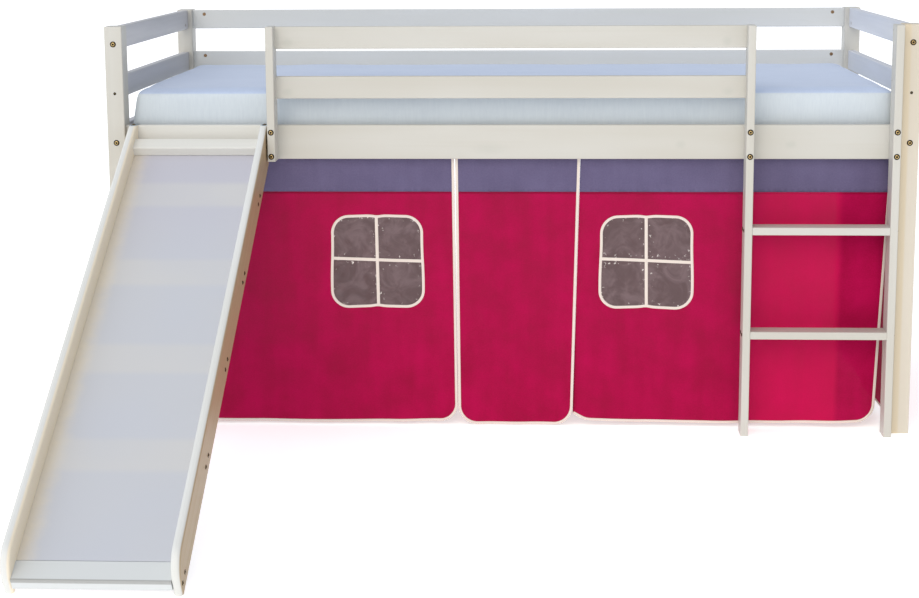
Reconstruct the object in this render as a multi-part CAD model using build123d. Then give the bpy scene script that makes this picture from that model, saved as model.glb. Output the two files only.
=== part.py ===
from build123d import *
import math
import os

# A child's mid-height bed of painted timber, with a lift-off slide, a ladder, a mattress on slats
# and a play curtain under it. X runs along the bed, Y from the slide's foot to the back, Z up.
# While the pieces are made, Y is 0 at the front faces of the front posts. The finished model is
# moved so that its origin is the middle of its footprint on the floor.

# Driving dimensions, millimetres
bed_length = 2080
bed_width = 984
post_height = 1062
post_thickness = 46
post_depth = 58
rail_thickness = 22
rail_height = 88
rail_drop = 256
plank_thickness = 20
plank_height = 57
plank_pitch = 127
top_reveal = 1.5
post_ease = 3
plank_ease = 2.5

# Guard rail and ladder, both hung on the front of the front rail
ladder_post_gap = 5.7
ladder_clear_width = 347.3
rung_top_shares = (0.68176, 0.34429)
stile_bolt_spacing = 62

# Slide
slide_width = 362
slide_post_gap = 10.5
slide_stile_gap = 3.5
slide_reach = 1208
slide_setback = 10
slide_side_depth = 95
slide_side_thickness = 20
slide_nose_radius = 55
slide_foot_trim = 5
slide_panel_lift = 41
slide_panel_thickness = 5
slide_groove_depth = 6
slide_groove_play = 0.2
slide_side_round = 8
slide_base_round = 4
cross_slat_width = 88
cross_slat_thickness = 20
cross_slat_first = 335
cross_slat_last_gap = 160
cross_slat_count = 4
foot_board_width = 52
foot_board_thickness = 28
top_board_width = 40
top_board_thickness = 25
top_board_gap = 24.5
hook_thickness = 1.4
hook_width = 18
hook_lap = 18
hook_leg = 24
hook_screw_pitch = 11

# Sleeping surface
mattress_end_gap = 6
mattress_side_gap = 2
mattress_thickness = 111
mattress_crown = 6
mattress_corner = 55
mattress_draw = 4
mattress_roll = 12
ledge_size = 20
slat_width = 70
slat_thickness = 16
slat_count = 14
slat_side_play = 1
webbing_width = 25
webbing_thickness = 1
webbing_inset = 210

# Play curtain
tape_width = 23
tape_thickness = 1
tape_drop = 1
cloth_thickness = 2.4
cloth_gap = 0.3
band_height = 89
curtain_hem = 24
door_hem = 7
left_hem = 19
curtain_corner = 48
door_corner = 44
curtain_inset = 6
curtain_right_inset = 36
door_place_share = 0.43525
door_top_width = 325
door_foot_width = 302
door_lean = 5
door_roll_radius = 1.6
door_roll_play = 0.45
panel_gap = 2.5
seam_gap = 0.6
fold_pitch = 141
fold_depth = 8
fold_start = 0.1
flat_drop = 12
window_width = 252
window_height = 255
window_head = 58
window_corner = 38
window_bar = 9
window_bar_height = 132
left_window_inset = 77.5
right_window_inset = 46.4
film_thickness = 0.8

# Fasteners
bolt_radius = 3
bolt_play = 0.3
bolt_head_radius = 6
bolt_head_height = 2.6
bolt_head_round = 1.2
bolt_socket_radius = 2.4
bolt_socket_depth = 1.6
bolt_tip = 8
nut_radius = 5
nut_length = 15
nut_inset = 1
nut_reach = 35
nut_slot = 1.2
thread_play = 0.05
guard_nut_reach = 30
insert_radius = 4.5
insert_length = 14
dowel_radius = 4
dowel_length = 30
dowel_play = 0.1
stile_dowel_length = 18
plank_fix_offset = 15.5
rail_bolt_offset = 20
rail_dowel_offset = 27
screw_radius = 2
screw_head_radius = 3.6
screw_head_height = 1.6
screw_play = 0.15
screw_length = 42
post_screw_head_sink = 2.5
ledge_screw_length = 36
ledge_screw_count = 7
rung_screw_spacing = 30
slide_screw_spacing = 34
foot_screw_spacing = 28
slide_screw_lift = 29
seat_gap = 0.3
overrun = 20

# Places that follow from the driving dimensions
half_length = bed_length / 2
post_inner_x = half_length - post_thickness
post_centre_x = half_length - post_thickness / 2
back_front_y = bed_width - post_depth
rail_front_y = (post_depth - rail_thickness) / 2
rail_back_y = rail_front_y + rail_thickness
back_rail_front_y = bed_width - rail_back_y
back_rail_back_y = bed_width - rail_front_y
rail_centre_y = post_depth / 2
rail_top = post_height - rail_drop
rail_bottom = rail_top - rail_height
rail_centre_z = rail_bottom + rail_height / 2
upper_plank_z = post_height - top_reveal - plank_height / 2
lower_plank_z = upper_plank_z - plank_pitch
guard_front_y = rail_front_y - plank_thickness
stile_front_y = rail_front_y - plank_height
end_rail_inner_x = post_centre_x - rail_thickness / 2
ladder_right = post_inner_x - ladder_post_gap - plank_thickness
ladder_left = ladder_right - ladder_clear_width - plank_thickness
slide_left = -post_inner_x + slide_post_gap
slide_right = slide_left + slide_width
guard_stile_left = slide_right + slide_stile_gap
guard_left = guard_stile_left + plank_thickness
slide_top = rail_top + seat_gap
slide_back_y = rail_front_y - seat_gap
ledge_bottom = rail_bottom + tape_drop + tape_width + seat_gap
ledge_top = ledge_bottom + ledge_size
slat_top = ledge_top + slat_thickness
mattress_length = 2 * (end_rail_inner_x - mattress_end_gap)
mattress_width = back_rail_front_y - rail_back_y - 2 * mattress_side_gap

# The front curtains hang from one tape. The door is cut narrower towards its foot.
curtain_top = rail_bottom + tape_drop + tape_width
curtain_front_y = rail_back_y + tape_thickness + cloth_gap
curtain_back_y = curtain_front_y + 2 * fold_depth + cloth_thickness
curtain_cut = (rail_back_y - overrun, curtain_back_y + overrun)
band_bottom = rail_bottom - band_height
hinge_z = rail_bottom - tape_drop
hinge_y = curtain_front_y + fold_start + cloth_thickness / 2
curtain_left_x = -post_inner_x + curtain_inset
curtain_right_x = post_inner_x - curtain_right_inset
door_left = curtain_left_x + door_place_share * (curtain_right_x - curtain_left_x)
door_top_span = (door_left, door_left + door_top_width)
door_foot_span = (door_left + door_lean, door_left + door_lean + door_foot_width)
left_span = (curtain_left_x, door_left - panel_gap)
window_bottom = band_bottom - window_head - window_height

# The side boards' upper edge meets the rail's top at the setback, which gives the slope.
slide_span = slide_reach - slide_setback
slide_angle = math.acos(slide_side_depth / math.hypot(slide_top, slide_span))
slide_angle -= math.atan2(slide_span, slide_top)
slope_cos = math.cos(slide_angle)
slope_sin = math.sin(slide_angle)
slope = Pos(0, -slide_reach, 0) * Rot(math.degrees(slide_angle), 0, 0)
foot_board_run = foot_board_width - slide_foot_trim
panel_top = slide_panel_lift + slide_panel_thickness
top_board_end = (slide_reach + slide_back_y + panel_top * slope_sin) / slope_cos - top_board_gap
top_board_run = top_board_end - top_board_width
cross_slat_span = top_board_run - cross_slat_last_gap - cross_slat_first
nose_run = slide_nose_radius - slide_foot_trim
nose_lift = slide_side_depth - slide_nose_radius
slide_front_y = -slide_reach + nose_run * slope_cos - nose_lift * slope_sin - slide_nose_radius

X_AXIS = (1, 0, 0)
Y_AXIS = (0, 1, 0)
BACKWARDS = (0, -1, 0)
LEFTWARDS = (-1, 0, 0)
FROM_BASE = (Align.CENTER, Align.CENTER, Align.MIN)

pieces = {}
holes = {}
groups = {}


def block(x_span, y_span, z_span):
    """A plain block between three pairs of limits."""
    spans = (x_span, y_span, z_span)
    middle = [(low + high) / 2 for low, high in spans]
    size = [high - low for low, high in spans]
    return Pos(*middle) * Box(*size)


def board(x_span, y_span, z_span, grain, ease=plank_ease):
    """A planed board with the arrises along its grain eased."""
    timber = block(x_span, y_span, z_span)
    return fillet(timber.edges().filter_by(grain), ease)


def upright(x_span, y_span, z_span, ease):
    """A post or stile, eased all round its length and over its top."""
    timber = block(x_span, y_span, z_span)
    long_edges = timber.edges().filter_by(Axis.Z)
    top_edges = timber.edges().group_by(Axis.Z)[-1]
    return fillet(long_edges + top_edges, ease)


def step(point, direction, distance):
    """The point a distance away from another along a direction."""
    return tuple(p + d * distance for p, d in zip(point, direction))


def into(point, direction):
    """A place whose Z axis runs into the wood."""
    return Plane(origin=point, z_dir=direction).location


def rod(point, direction, radius, length):
    """A round bar, or the cutter of a round hole, that starts at a point."""
    return into(point, direction) * Cylinder(radius, length, align=FROM_BASE)


def drill(names, cutter):
    """Notes a cutter for each named piece. All are cut at the end, in one go for a piece."""
    for name in names:
        holes.setdefault(name, []).append(cutter)


def put(group, solid):
    """Adds a solid to a group of like fasteners."""
    groups.setdefault(group, []).append(solid)


def socket_bolt(point, direction, length):
    """A furniture bolt with a low round head and a hexagon socket."""
    head = Pos(0, 0, -bolt_head_height) * Cylinder(bolt_head_radius, bolt_head_height, align=FROM_BASE)
    head = fillet(head.edges().group_by(Axis.Z)[0], bolt_head_round)
    shank = Cylinder(bolt_radius, length, align=FROM_BASE)
    socket = extrude(RegularPolygon(bolt_socket_radius, 6), bolt_socket_depth)
    return into(point, direction) * (head + shank - Pos(0, 0, -bolt_head_height) * socket)


def wood_screw(group, point, direction, length, names, sink=0):
    """A round-headed screw in its own hole through the named pieces."""
    seat = step(point, direction, sink)
    head = rod(step(seat, direction, -screw_head_height), direction, screw_head_radius, screw_head_height)
    put(group, head + rod(seat, direction, screw_radius, length))
    drill(names, rod(point, direction, screw_radius + screw_play, length + sink + screw_play))
    if sink:
        drill(names[:1], rod(point, direction, screw_head_radius + screw_play, sink))


def barrel_nut(face_point, inward, bolt_point, bolt_direction, name):
    """A cross nut let into a board's face, on the bolt's line."""
    body = rod(step(face_point, inward, nut_inset), inward, nut_radius, nut_length)
    thread = Plane(origin=bolt_point, z_dir=bolt_direction).location
    body -= thread * Cylinder(bolt_radius + thread_play, 2 * nut_radius + overrun)
    slot = Pos(0, 0, nut_inset) * Box(2 * nut_radius, nut_slot, nut_slot)
    put("barrel_nuts", body - into(face_point, inward) * slot)
    drill([name], rod(face_point, inward, nut_radius + bolt_play, nut_inset + nut_length + bolt_play))


def cross_bolt(group, point, direction, outer, outer_depth, inner, reach, nut_face, inward):
    """A bolt through an outer piece into a board's end, pulled up by a barrel nut in its face."""
    length = outer_depth + reach + bolt_tip
    put(group, socket_bolt(point, direction, length))
    drill([outer, inner], rod(point, direction, bolt_radius + bolt_play, length + bolt_play))
    nut_point = step(point, direction, outer_depth + reach)
    across = [abs(part) for part in inward]
    face_point = tuple(face if on else own for face, on, own in zip(nut_face, across, nut_point))
    barrel_nut(face_point, inward, nut_point, direction, inner)


def dowel(joint_point, direction, names, length=dowel_length):
    """A dowel across a butt joint, half in each piece."""
    put("dowels", rod(step(joint_point, direction, -length / 2), direction, dowel_radius, length))
    cutter_length = length + 2 * dowel_play
    start = step(joint_point, direction, -cutter_length / 2)
    drill(names, rod(start, direction, dowel_radius + dowel_play, cutter_length))


def add_posts():
    """Four corner posts."""
    for side, x_sign in (("left", -1), ("right", 1)):
        x_span = sorted((x_sign * half_length, x_sign * post_inner_x))
        for end, y_span in (("front", (0, post_depth)), ("back", (back_front_y, bed_width))):
            pieces["post_" + end + "_" + side] = upright(x_span, y_span, (0, post_height), post_ease)


def add_side_rails():
    """The front and back rails, each bolted end-on between two posts."""
    x_span = (-post_inner_x, post_inner_x)
    z_span = (rail_bottom, rail_top)
    front = (rail_front_y, rail_back_y)
    back = (back_rail_front_y, back_rail_back_y)
    pieces["side_rail_front"] = board(x_span, front, z_span, Axis.X)
    pieces["side_rail_back"] = board(x_span, back, z_span, Axis.X)
    rows = (("front", rail_centre_y, rail_back_y, BACKWARDS),
            ("back", bed_width - rail_centre_y, back_rail_front_y, Y_AXIS))
    for end, y, inner_y, inward in rows:
        for side, x, direction in (("left", -half_length, X_AXIS), ("right", half_length, LEFTWARDS)):
            for offset in (-rail_bolt_offset, rail_bolt_offset):
                point = (x, y, rail_centre_z + offset)
                post = "post_" + end + "_" + side
                cross_bolt("frame_bolts", point, direction, post, post_thickness,
                           "side_rail_" + end, nut_reach, (0, inner_y, 0), inward)


def add_end_boards(side, x_sign):
    """One end of the bed: a rail and two planks between the front and the back post."""
    centre_x = x_sign * post_centre_x
    front_post = "post_front_" + side
    back_post = "post_back_" + side
    ends = ((front_post, 0, Y_AXIS), (back_post, bed_width, BACKWARDS))
    y_span = (post_depth, back_front_y)
    inward = (x_sign, 0, 0)

    rail = "end_rail_" + side
    x_span = (centre_x - rail_thickness / 2, centre_x + rail_thickness / 2)
    pieces[rail] = board(x_span, y_span, (rail_bottom, rail_top), Axis.Y)
    for post, y, direction in ends:
        cross_bolt("frame_bolts", (centre_x, y, rail_centre_z), direction, post, post_depth,
                   rail, nut_reach, (x_sign * end_rail_inner_x, 0, 0), inward)
        joint = step((centre_x, y, rail_centre_z), direction, post_depth)
        for offset in (-rail_dowel_offset, rail_dowel_offset):
            dowel(step(joint, (0, 0, 1), offset), direction, (post, rail))

    x_span = (centre_x - plank_thickness / 2, centre_x + plank_thickness / 2)
    face_x = x_sign * (post_centre_x - plank_thickness / 2)
    for level, z in (("upper", upper_plank_z), ("lower", lower_plank_z)):
        plank = "end_plank_" + side + "_" + level
        z_span = (z - plank_height / 2, z + plank_height / 2)
        pieces[plank] = board(x_span, y_span, z_span, Axis.Y)
        for post, y, direction in ends:
            fix = (centre_x, y, z - plank_fix_offset)
            if level == "upper":
                cross_bolt("frame_bolts", fix, direction, post, post_depth,
                           plank, nut_reach, (face_x, 0, 0), inward)
            else:
                wood_screw("post_screws", fix, direction, post_depth + nut_reach, (post, plank),
                           post_screw_head_sink)
            joint = step((centre_x, y, z + plank_fix_offset), direction, post_depth)
            dowel(joint, direction, (post, plank))


def add_back_planks():
    """Two planks above the back rail, with their barrel nuts on the side that faces the bed."""
    y_span = (back_rail_front_y, back_rail_front_y + plank_thickness)
    centre_y = back_rail_front_y + plank_thickness / 2
    for level, z in (("upper", upper_plank_z), ("lower", lower_plank_z)):
        plank = "back_plank_" + level
        z_span = (z - plank_height / 2, z + plank_height / 2)
        pieces[plank] = board((-post_inner_x, post_inner_x), y_span, z_span, Axis.X)
        for side, x, direction in (("left", -half_length, X_AXIS), ("right", half_length, LEFTWARDS)):
            post = "post_back_" + side
            cross_bolt("frame_bolts", (x, centre_y, z + plank_fix_offset), direction, post,
                       post_thickness, plank, nut_reach, (0, back_rail_front_y, 0), Y_AXIS)
            joint = step((x, centre_y, z - plank_fix_offset), direction, post_thickness)
            dowel(joint, direction, (post, plank))


def add_stile(name, x_left, z_bottom):
    """An upright of plank stock on edge, bolted through the front rail into threaded inserts."""
    x_span = (x_left, x_left + plank_thickness)
    pieces[name] = upright(x_span, (stile_front_y, rail_front_y), (z_bottom, post_height), plank_ease)
    x = x_left + plank_thickness / 2
    length = plank_height + rail_thickness - nut_inset
    for offset in (-stile_bolt_spacing / 2, stile_bolt_spacing / 2):
        point = (x, stile_front_y, rail_centre_z + offset)
        put("stile_bolts", socket_bolt(point, Y_AXIS, length))
        drill((name, "side_rail_front"), rod(point, Y_AXIS, bolt_radius + bolt_play, length + nut_inset))
        start = (x, rail_back_y - insert_length, rail_centre_z + offset)
        insert = rod(start, Y_AXIS, insert_radius, insert_length)
        put("stile_inserts", insert - rod(start, Y_AXIS, bolt_radius + thread_play, insert_length))
        drill(("side_rail_front",), rod(start, Y_AXIS, insert_radius + thread_play, insert_length))


def add_guard():
    """The guard: two planks from a short stile beside the slide to the ladder's left stile."""
    add_stile("guard_stile", guard_stile_left, rail_bottom)
    y_span = (guard_front_y, rail_front_y)
    centre_y = (guard_front_y + rail_front_y) / 2
    ends = (("guard_stile", guard_stile_left, X_AXIS),
            ("ladder_stile_left", ladder_left + plank_thickness, LEFTWARDS))
    for level, z in (("upper", upper_plank_z), ("lower", lower_plank_z)):
        plank = "guard_plank_" + level
        z_span = (z - plank_height / 2, z + plank_height / 2)
        pieces[plank] = board((guard_left, ladder_left), y_span, z_span, Axis.X)
        for stile, x, direction in ends:
            cross_bolt("guard_bolts", (x, centre_y, z + plank_fix_offset), direction, stile,
                       plank_thickness, plank, guard_nut_reach, (0, rail_front_y, 0), BACKWARDS)
            joint = step((x, centre_y, z - plank_fix_offset), direction, plank_thickness)
            dowel(joint, direction, (stile, plank), stile_dowel_length)


def add_ladder():
    """Two stiles and two rungs. The right stile is the left one's twin, with its guard holes left open."""
    add_stile("ladder_stile_left", ladder_left, 0)
    add_stile("ladder_stile_right", ladder_right, 0)
    guard_hole_y = (guard_front_y + rail_front_y) / 2
    for z in (upper_plank_z, lower_plank_z):
        spare = (ladder_right, guard_hole_y, z + plank_fix_offset)
        drill(("ladder_stile_right",), rod(spare, X_AXIS, bolt_radius + bolt_play, plank_thickness))
    inner_left = ladder_left + plank_thickness
    stile_centre_y = (stile_front_y + rail_front_y) / 2
    for level, share in zip(("upper", "lower"), rung_top_shares):
        rung = "ladder_rung_" + level
        top = rail_top * share
        pieces[rung] = board((inner_left, ladder_right), (stile_front_y, rail_front_y),
                             (top - plank_thickness, top), Axis.X)
        ends = (("ladder_stile_left", ladder_left, X_AXIS),
                ("ladder_stile_right", ladder_right + plank_thickness, LEFTWARDS))
        for stile, x, direction in ends:
            for offset in (-rung_screw_spacing / 2, rung_screw_spacing / 2):
                point = (x, stile_centre_y + offset, top - plank_thickness / 2)
                wood_screw("rung_screws", point, direction, screw_length, (stile, rung))


def add_slat_base():
    """Ledges screwed inside the rails, loose slats across them and the webbing that spaces the slats."""
    z_span = (ledge_bottom, ledge_top)
    rows = (("front", rail_back_y, rail_back_y + ledge_size, BACKWARDS),
            ("back", back_rail_front_y, back_rail_front_y - ledge_size, Y_AXIS))
    ledge_end = post_inner_x - seat_gap
    screw_pitch = 2 * ledge_end / ledge_screw_count
    screw_z = (ledge_bottom + ledge_top) / 2
    for end, rail_y, face_y, direction in rows:
        ledge = "slat_ledge_" + end
        pieces[ledge] = board((-ledge_end, ledge_end), sorted((rail_y, face_y)), z_span, Axis.X)
        for index in range(ledge_screw_count):
            point = (-ledge_end + screw_pitch * (index + 0.5), face_y, screw_z)
            wood_screw("ledge_screws", point, direction, ledge_screw_length,
                       (ledge, "side_rail_" + end))

    half_run = post_inner_x - slat_side_play
    slat_pitch = (2 * half_run - slat_width) / (slat_count - 1)
    y_span = (rail_back_y + slat_side_play, back_rail_front_y - slat_side_play)
    for index in range(slat_count):
        x = -half_run + slat_width / 2 + slat_pitch * index
        x_span = (x - slat_width / 2, x + slat_width / 2)
        put("bed_slats", board(x_span, y_span, (ledge_top, slat_top), Axis.Y))
    z_span = (ledge_top - webbing_thickness, ledge_top)
    for y in (webbing_inset, bed_width - webbing_inset):
        y_span = (y - webbing_width / 2, y + webbing_width / 2)
        put("slat_webbing", block((-half_run, half_run), y_span, z_span))


def bowed(start, end, bow):
    """An arc between two points that bows sideways in the level plane."""
    length = math.dist(start, end)
    across = ((start[1] - end[1]) / length, (end[0] - start[0]) / length)
    middle_x = (start[0] + end[0]) / 2 + across[0] * bow
    middle_y = (start[1] + end[1]) / 2 + across[1] * bow
    return ThreePointArc(start, (middle_x, middle_y, start[2]), end)


def mattress_plan(z):
    """The mattress seen from above: round corners and sides drawn in between them."""
    half_x = mattress_length / 2
    front_y = (bed_width - mattress_width) / 2
    back_y = bed_width - front_y
    turn = mattress_corner
    inner = turn * (1 - math.sqrt(0.5))
    lines = []
    for x_sign, y_edge, y_sign in ((1, front_y, 1), (1, back_y, -1), (-1, back_y, -1), (-1, front_y, 1)):
        along_side = (x_sign * (half_x - turn), y_edge, z)
        along_end = (x_sign * half_x, y_edge + y_sign * turn, z)
        corner = (x_sign * (half_x - inner), y_edge + y_sign * inner, z)
        lines.append(ThreePointArc(along_side, corner, along_end))
    lines.append(bowed((-half_x + turn, front_y, z), (half_x - turn, front_y, z), mattress_draw))
    lines.append(bowed((half_x, front_y + turn, z), (half_x, back_y - turn, z), mattress_draw))
    lines.append(bowed((half_x - turn, back_y, z), (-half_x + turn, back_y, z), mattress_draw))
    lines.append(bowed((-half_x, back_y - turn, z), (-half_x, front_y + turn, z), mattress_draw))
    return make_face(lines)


def crowned_face(near, far, low, high):
    """The outline of a block cut through: flat below and upright at the ends, with a low arc over it."""
    middle = ((near[0] + far[0]) / 2, (near[1] + far[1]) / 2, high + mattress_crown)
    sides = Polyline((*near, high), (*near, low), (*far, low), (*far, high))
    return make_face([sides, ThreePointArc((*far, high), middle, (*near, high))])


def add_mattress():
    """A foam mattress: crowned both ways, rolled over its edges, with drawn-in sides."""
    low = slat_top + seat_gap
    high = low + mattress_thickness
    body = extrude(mattress_plan(low), mattress_thickness + mattress_crown + overrun, dir=(0, 0, 1))
    body = fillet(body.edges().group_by(Axis.Z)[0], mattress_roll)

    end_x = mattress_length / 2 + overrun
    near_y = (bed_width - mattress_width) / 2 - overrun
    far_y = bed_width - near_y
    across = extrude(crowned_face((-end_x, near_y), (-end_x, far_y), low - overrun, high),
                     2 * end_x, dir=X_AXIS)
    along = extrude(crowned_face((-end_x, near_y), (end_x, near_y), low - overrun, high),
                    far_y - near_y, dir=Y_AXIS)
    body &= across & along
    rim = [edge for edge in body.edges() if edge.center().Z > high - mattress_roll]
    pieces["mattress"] = fillet(rim, mattress_roll)


def on_slope(y, z):
    """A place in the bed's own Y and Z as a run up the slide and a lift off it."""
    run = (y + slide_reach) * slope_cos + z * slope_sin
    lift = z * slope_cos - (y + slide_reach) * slope_sin
    return run, lift


def slide_side_outline(x):
    """A side board on the slope: square and round-nosed at its foot, cut level and plumb at the rail."""
    foot = (-slide_foot_trim, 0)
    nose_low = (-slide_foot_trim, nose_lift)
    turn = slide_nose_radius * math.sqrt(0.5)
    nose_middle = (nose_run - turn, nose_lift + turn)
    nose_top = (nose_run, slide_side_depth)
    level_start = on_slope(-slide_setback, slide_top)
    level_end = on_slope(slide_back_y, slide_top)
    plumb_end = on_slope(slide_back_y, (slide_back_y + slide_reach) * math.tan(slide_angle))
    nose = ThreePointArc((x, *nose_low), (x, *nose_middle), (x, *nose_top))
    corners = (nose_top, level_start, level_end, plumb_end, foot, nose_low)
    return make_face([nose, Polyline(*[(x, *corner) for corner in corners])])


def slide_side(x_left, groove_face, groove_sign):
    """A side board with rounded edges, a groove for the sliding panel and a flat cut on the floor."""
    timber = extrude(slide_side_outline(x_left), slide_side_thickness, dir=X_AXIS)
    faces_x = (x_left, x_left + slide_side_thickness)
    level_run = on_slope(-slide_setback, slide_top)[0]
    upper = [edge for edge in timber.edges() if edge.center().Z > nose_lift + slide_side_round
             and min(abs(edge.center().X - x) for x in faces_x) < seat_gap and edge.center().Y < level_run]
    timber = fillet(upper, slide_side_round)
    lower = [edge for edge in timber.edges() if abs(edge.center().Z) < seat_gap
             and min(abs(edge.center().X - x) for x in faces_x) < seat_gap]
    timber = fillet(lower, slide_base_round)
    groove_x = sorted((groove_face, groove_face + groove_sign * slide_groove_depth))
    groove_lift = (slide_panel_lift - slide_groove_play,
                   slide_panel_lift + slide_panel_thickness + slide_groove_play)
    timber -= block(groove_x, (foot_board_run, top_board_end + slide_groove_play), groove_lift)
    foot_y = (-slide_reach - slide_nose_radius, -slide_reach + slide_nose_radius)
    below = block((x_left - overrun, x_left + slide_side_thickness + overrun), foot_y, (-overrun, 0))
    return slope * timber - below


def sloped_screw(x, run, lift, direction, names):
    """A screw through a side board into the end of a cross piece."""
    head = (slope * Pos(x, run, lift)).position
    wood_screw("slide_screws", (head.X, head.Y, head.Z), direction, screw_length, names)


def add_slide():
    """The slide: grooved side boards, a thin panel, cross slats under it, a foot board and a top board."""
    inner = (slide_left + slide_side_thickness, slide_right - slide_side_thickness)
    pieces["slide_side_left"] = slide_side(slide_left, inner[0], -1)
    pieces["slide_side_right"] = slide_side(slide_right - slide_side_thickness, inner[1], 1)

    panel_edge = slide_groove_depth - slide_groove_play
    panel_x = (inner[0] - panel_edge, inner[1] + panel_edge)
    panel_run = (foot_board_run + slide_groove_play, top_board_end)
    pieces["slide_panel"] = slope * block(panel_x, panel_run, (slide_panel_lift, panel_top))

    across = []
    for index in range(cross_slat_count):
        run = cross_slat_first + cross_slat_span * index / (cross_slat_count - 1)
        name = "slide_cross_slat_" + str(index + 1)
        spans = ((run - cross_slat_width / 2, run + cross_slat_width / 2),
                 (slide_panel_lift - cross_slat_thickness, slide_panel_lift))
        across.append((name, spans, run, slide_screw_spacing, slide_screw_lift))
    foot_middle = (foot_board_run - slide_foot_trim) / 2
    across.append(("slide_foot_board", ((-slide_foot_trim, foot_board_run),
                   (panel_top - foot_board_thickness, panel_top)),
                   foot_middle, foot_screw_spacing, slide_screw_lift))
    top_middle = top_board_run + top_board_width / 2
    across.append(("slide_top_board", ((top_board_run, top_board_end),
                   (panel_top, panel_top + top_board_thickness)),
                   top_middle, 0, panel_top + top_board_thickness / 2))
    for name, (run_span, lift_span), run, spacing, lift in across:
        pieces[name] = slope * board(inner, run_span, lift_span, Axis.X)
        for offset in sorted({-spacing / 2, spacing / 2}):
            sloped_screw(slide_left, run + offset, lift, X_AXIS, ("slide_side_left", name))
            sloped_screw(slide_right, run + offset, lift, LEFTWARDS, ("slide_side_right", name))

    hook_back_y = rail_back_y + cloth_gap + hook_thickness
    strap_z = (slide_top, slide_top + hook_thickness)
    leg_z = (slide_top - hook_leg, slide_top)
    for name, x in (("slide_side_left", slide_left), ("slide_side_right", inner[1])):
        x_middle = x + slide_side_thickness / 2
        x_span = (x_middle - hook_width / 2, x_middle + hook_width / 2)
        strap = block(x_span, (slide_back_y - hook_lap, hook_back_y), strap_z)
        leg = block(x_span, (hook_back_y - hook_thickness, hook_back_y), leg_z)
        for index in range(2):
            y = slide_back_y - hook_lap / 2 + hook_screw_pitch * (index - 0.5)
            point = (x_middle, y, slide_top + hook_thickness)
            hole = rod(point, (0, 0, -1), screw_radius + screw_play, hook_leg)
            strap -= hole
            wood_screw("slide_screws", point, (0, 0, -1), screw_length / 2, (name,))
        put("slide_hooks", strap + leg)


def cloth_section(span, y_front, thickness, z, swell):
    """A level cut through a hanging cloth: soft folds front and back, square ends."""
    count = max(2, round((span[1] - span[0]) / fold_pitch))
    y_line = y_front + swell
    xs = [span[0] + (span[1] - span[0]) * index / count for index in range(count + 1)]
    lines = []
    for index in range(count):
        bow = swell if index % 2 else -swell
        start, end = xs[index], xs[index + 1]
        middle = (start + end) / 2
        lines.append(ThreePointArc((start, y_line, z), (middle, y_line + bow, z), (end, y_line, z)))
        back = y_line + thickness
        lines.append(ThreePointArc((start, back, z), (middle, back + bow, z), (end, back, z)))
    for x in (xs[0], xs[-1]):
        lines.append(Line((x, y_line, z), (x, y_line + thickness, z)))
    return make_face(lines)


def folded_cloth(span, top, bottom, thickness=cloth_thickness, inset=0):
    """Cloth that hangs flat from its tape and swells into folds towards its hem."""
    heights = (top, rail_bottom - flat_drop, band_bottom, (band_bottom + bottom) / 2, bottom)
    swell_shares = (0, 0, 0.2, 0.65, 1)
    sections = []
    for z, share in zip(heights, swell_shares):
        swell = fold_start + (fold_depth - fold_start) * share
        sections.append(cloth_section(span, curtain_front_y + inset, thickness, z, swell))
    return loft(sections, ruled=True)


def front_outline(top_span, foot_span, top, bottom, corner):
    """A front panel's cut, round at its lower corners, as a thick slab to cut the cloth with."""
    y = curtain_cut[0]
    left_side = [(top_span[0], y, top), (foot_span[0], y, bottom)]
    right_side = [(foot_span[1], y, bottom), (top_span[1], y, top)]
    edge = FilletPolyline(*left_side, *right_side, radius=corner)
    face = make_face([edge, Line(right_side[1], left_side[0])])
    return extrude(face, curtain_cut[1] - curtain_cut[0], dir=Y_AXIS)


def window_slab(centre_x):
    """A window's round-cornered opening, less the cross of cloth that is left in it."""
    centre = (centre_x, curtain_cut[0], window_bottom + window_height / 2)
    face = Plane(origin=centre, x_dir=X_AXIS, z_dir=BACKWARDS) * RectangleRounded(
        window_width, window_height, window_corner)
    opening = extrude(face, curtain_cut[1] - curtain_cut[0], dir=Y_AXIS)
    bar_z = window_bottom + window_bar_height
    reach = window_width / 2 + overrun
    opening -= block((centre_x - window_bar / 2, centre_x + window_bar / 2), curtain_cut,
                     (window_bottom - overrun, window_bottom + window_height + overrun))
    opening -= block((centre_x - reach, centre_x + reach), curtain_cut,
                     (bar_z - window_bar / 2, bar_z + window_bar / 2))
    return opening


def split_at_band(name, cloth, cut_z):
    """Parts a curtain into its coloured band and the body sewn under it."""
    above = block((-half_length, half_length), curtain_cut, (cut_z, post_height))
    pieces[name + "_band"] = cloth & above
    pieces[name] = cloth - above


def add_front_curtains():
    """Left panel, door and right panel. The panels have a window each, glazed with clear film."""
    right_top = (door_top_span[1] + seam_gap, curtain_right_x)
    right_foot = (door_foot_span[1] + seam_gap, curtain_right_x)
    left_window_x = left_span[1] - left_window_inset - window_width / 2
    right_window_x = right_top[0] + right_window_inset + window_width / 2
    rows = (("left", left_span, left_span, left_hem, left_window_x),
            ("right", right_top, right_foot, curtain_hem, right_window_x))
    inset = (cloth_thickness - film_thickness) / 2
    for side, top_span, foot_span, hem, window_x in rows:
        span = (min(top_span[0], foot_span[0]), max(top_span[1], foot_span[1]))
        outline = front_outline(top_span, foot_span, curtain_top, hem, curtain_corner)
        window = window_slab(window_x)
        cloth = (folded_cloth(span, curtain_top, hem) & outline) - window
        split_at_band("curtain_" + side, cloth, band_bottom)
        pieces["window_film_" + side] = folded_cloth(span, curtain_top, hem, film_thickness, inset) & window


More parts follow.
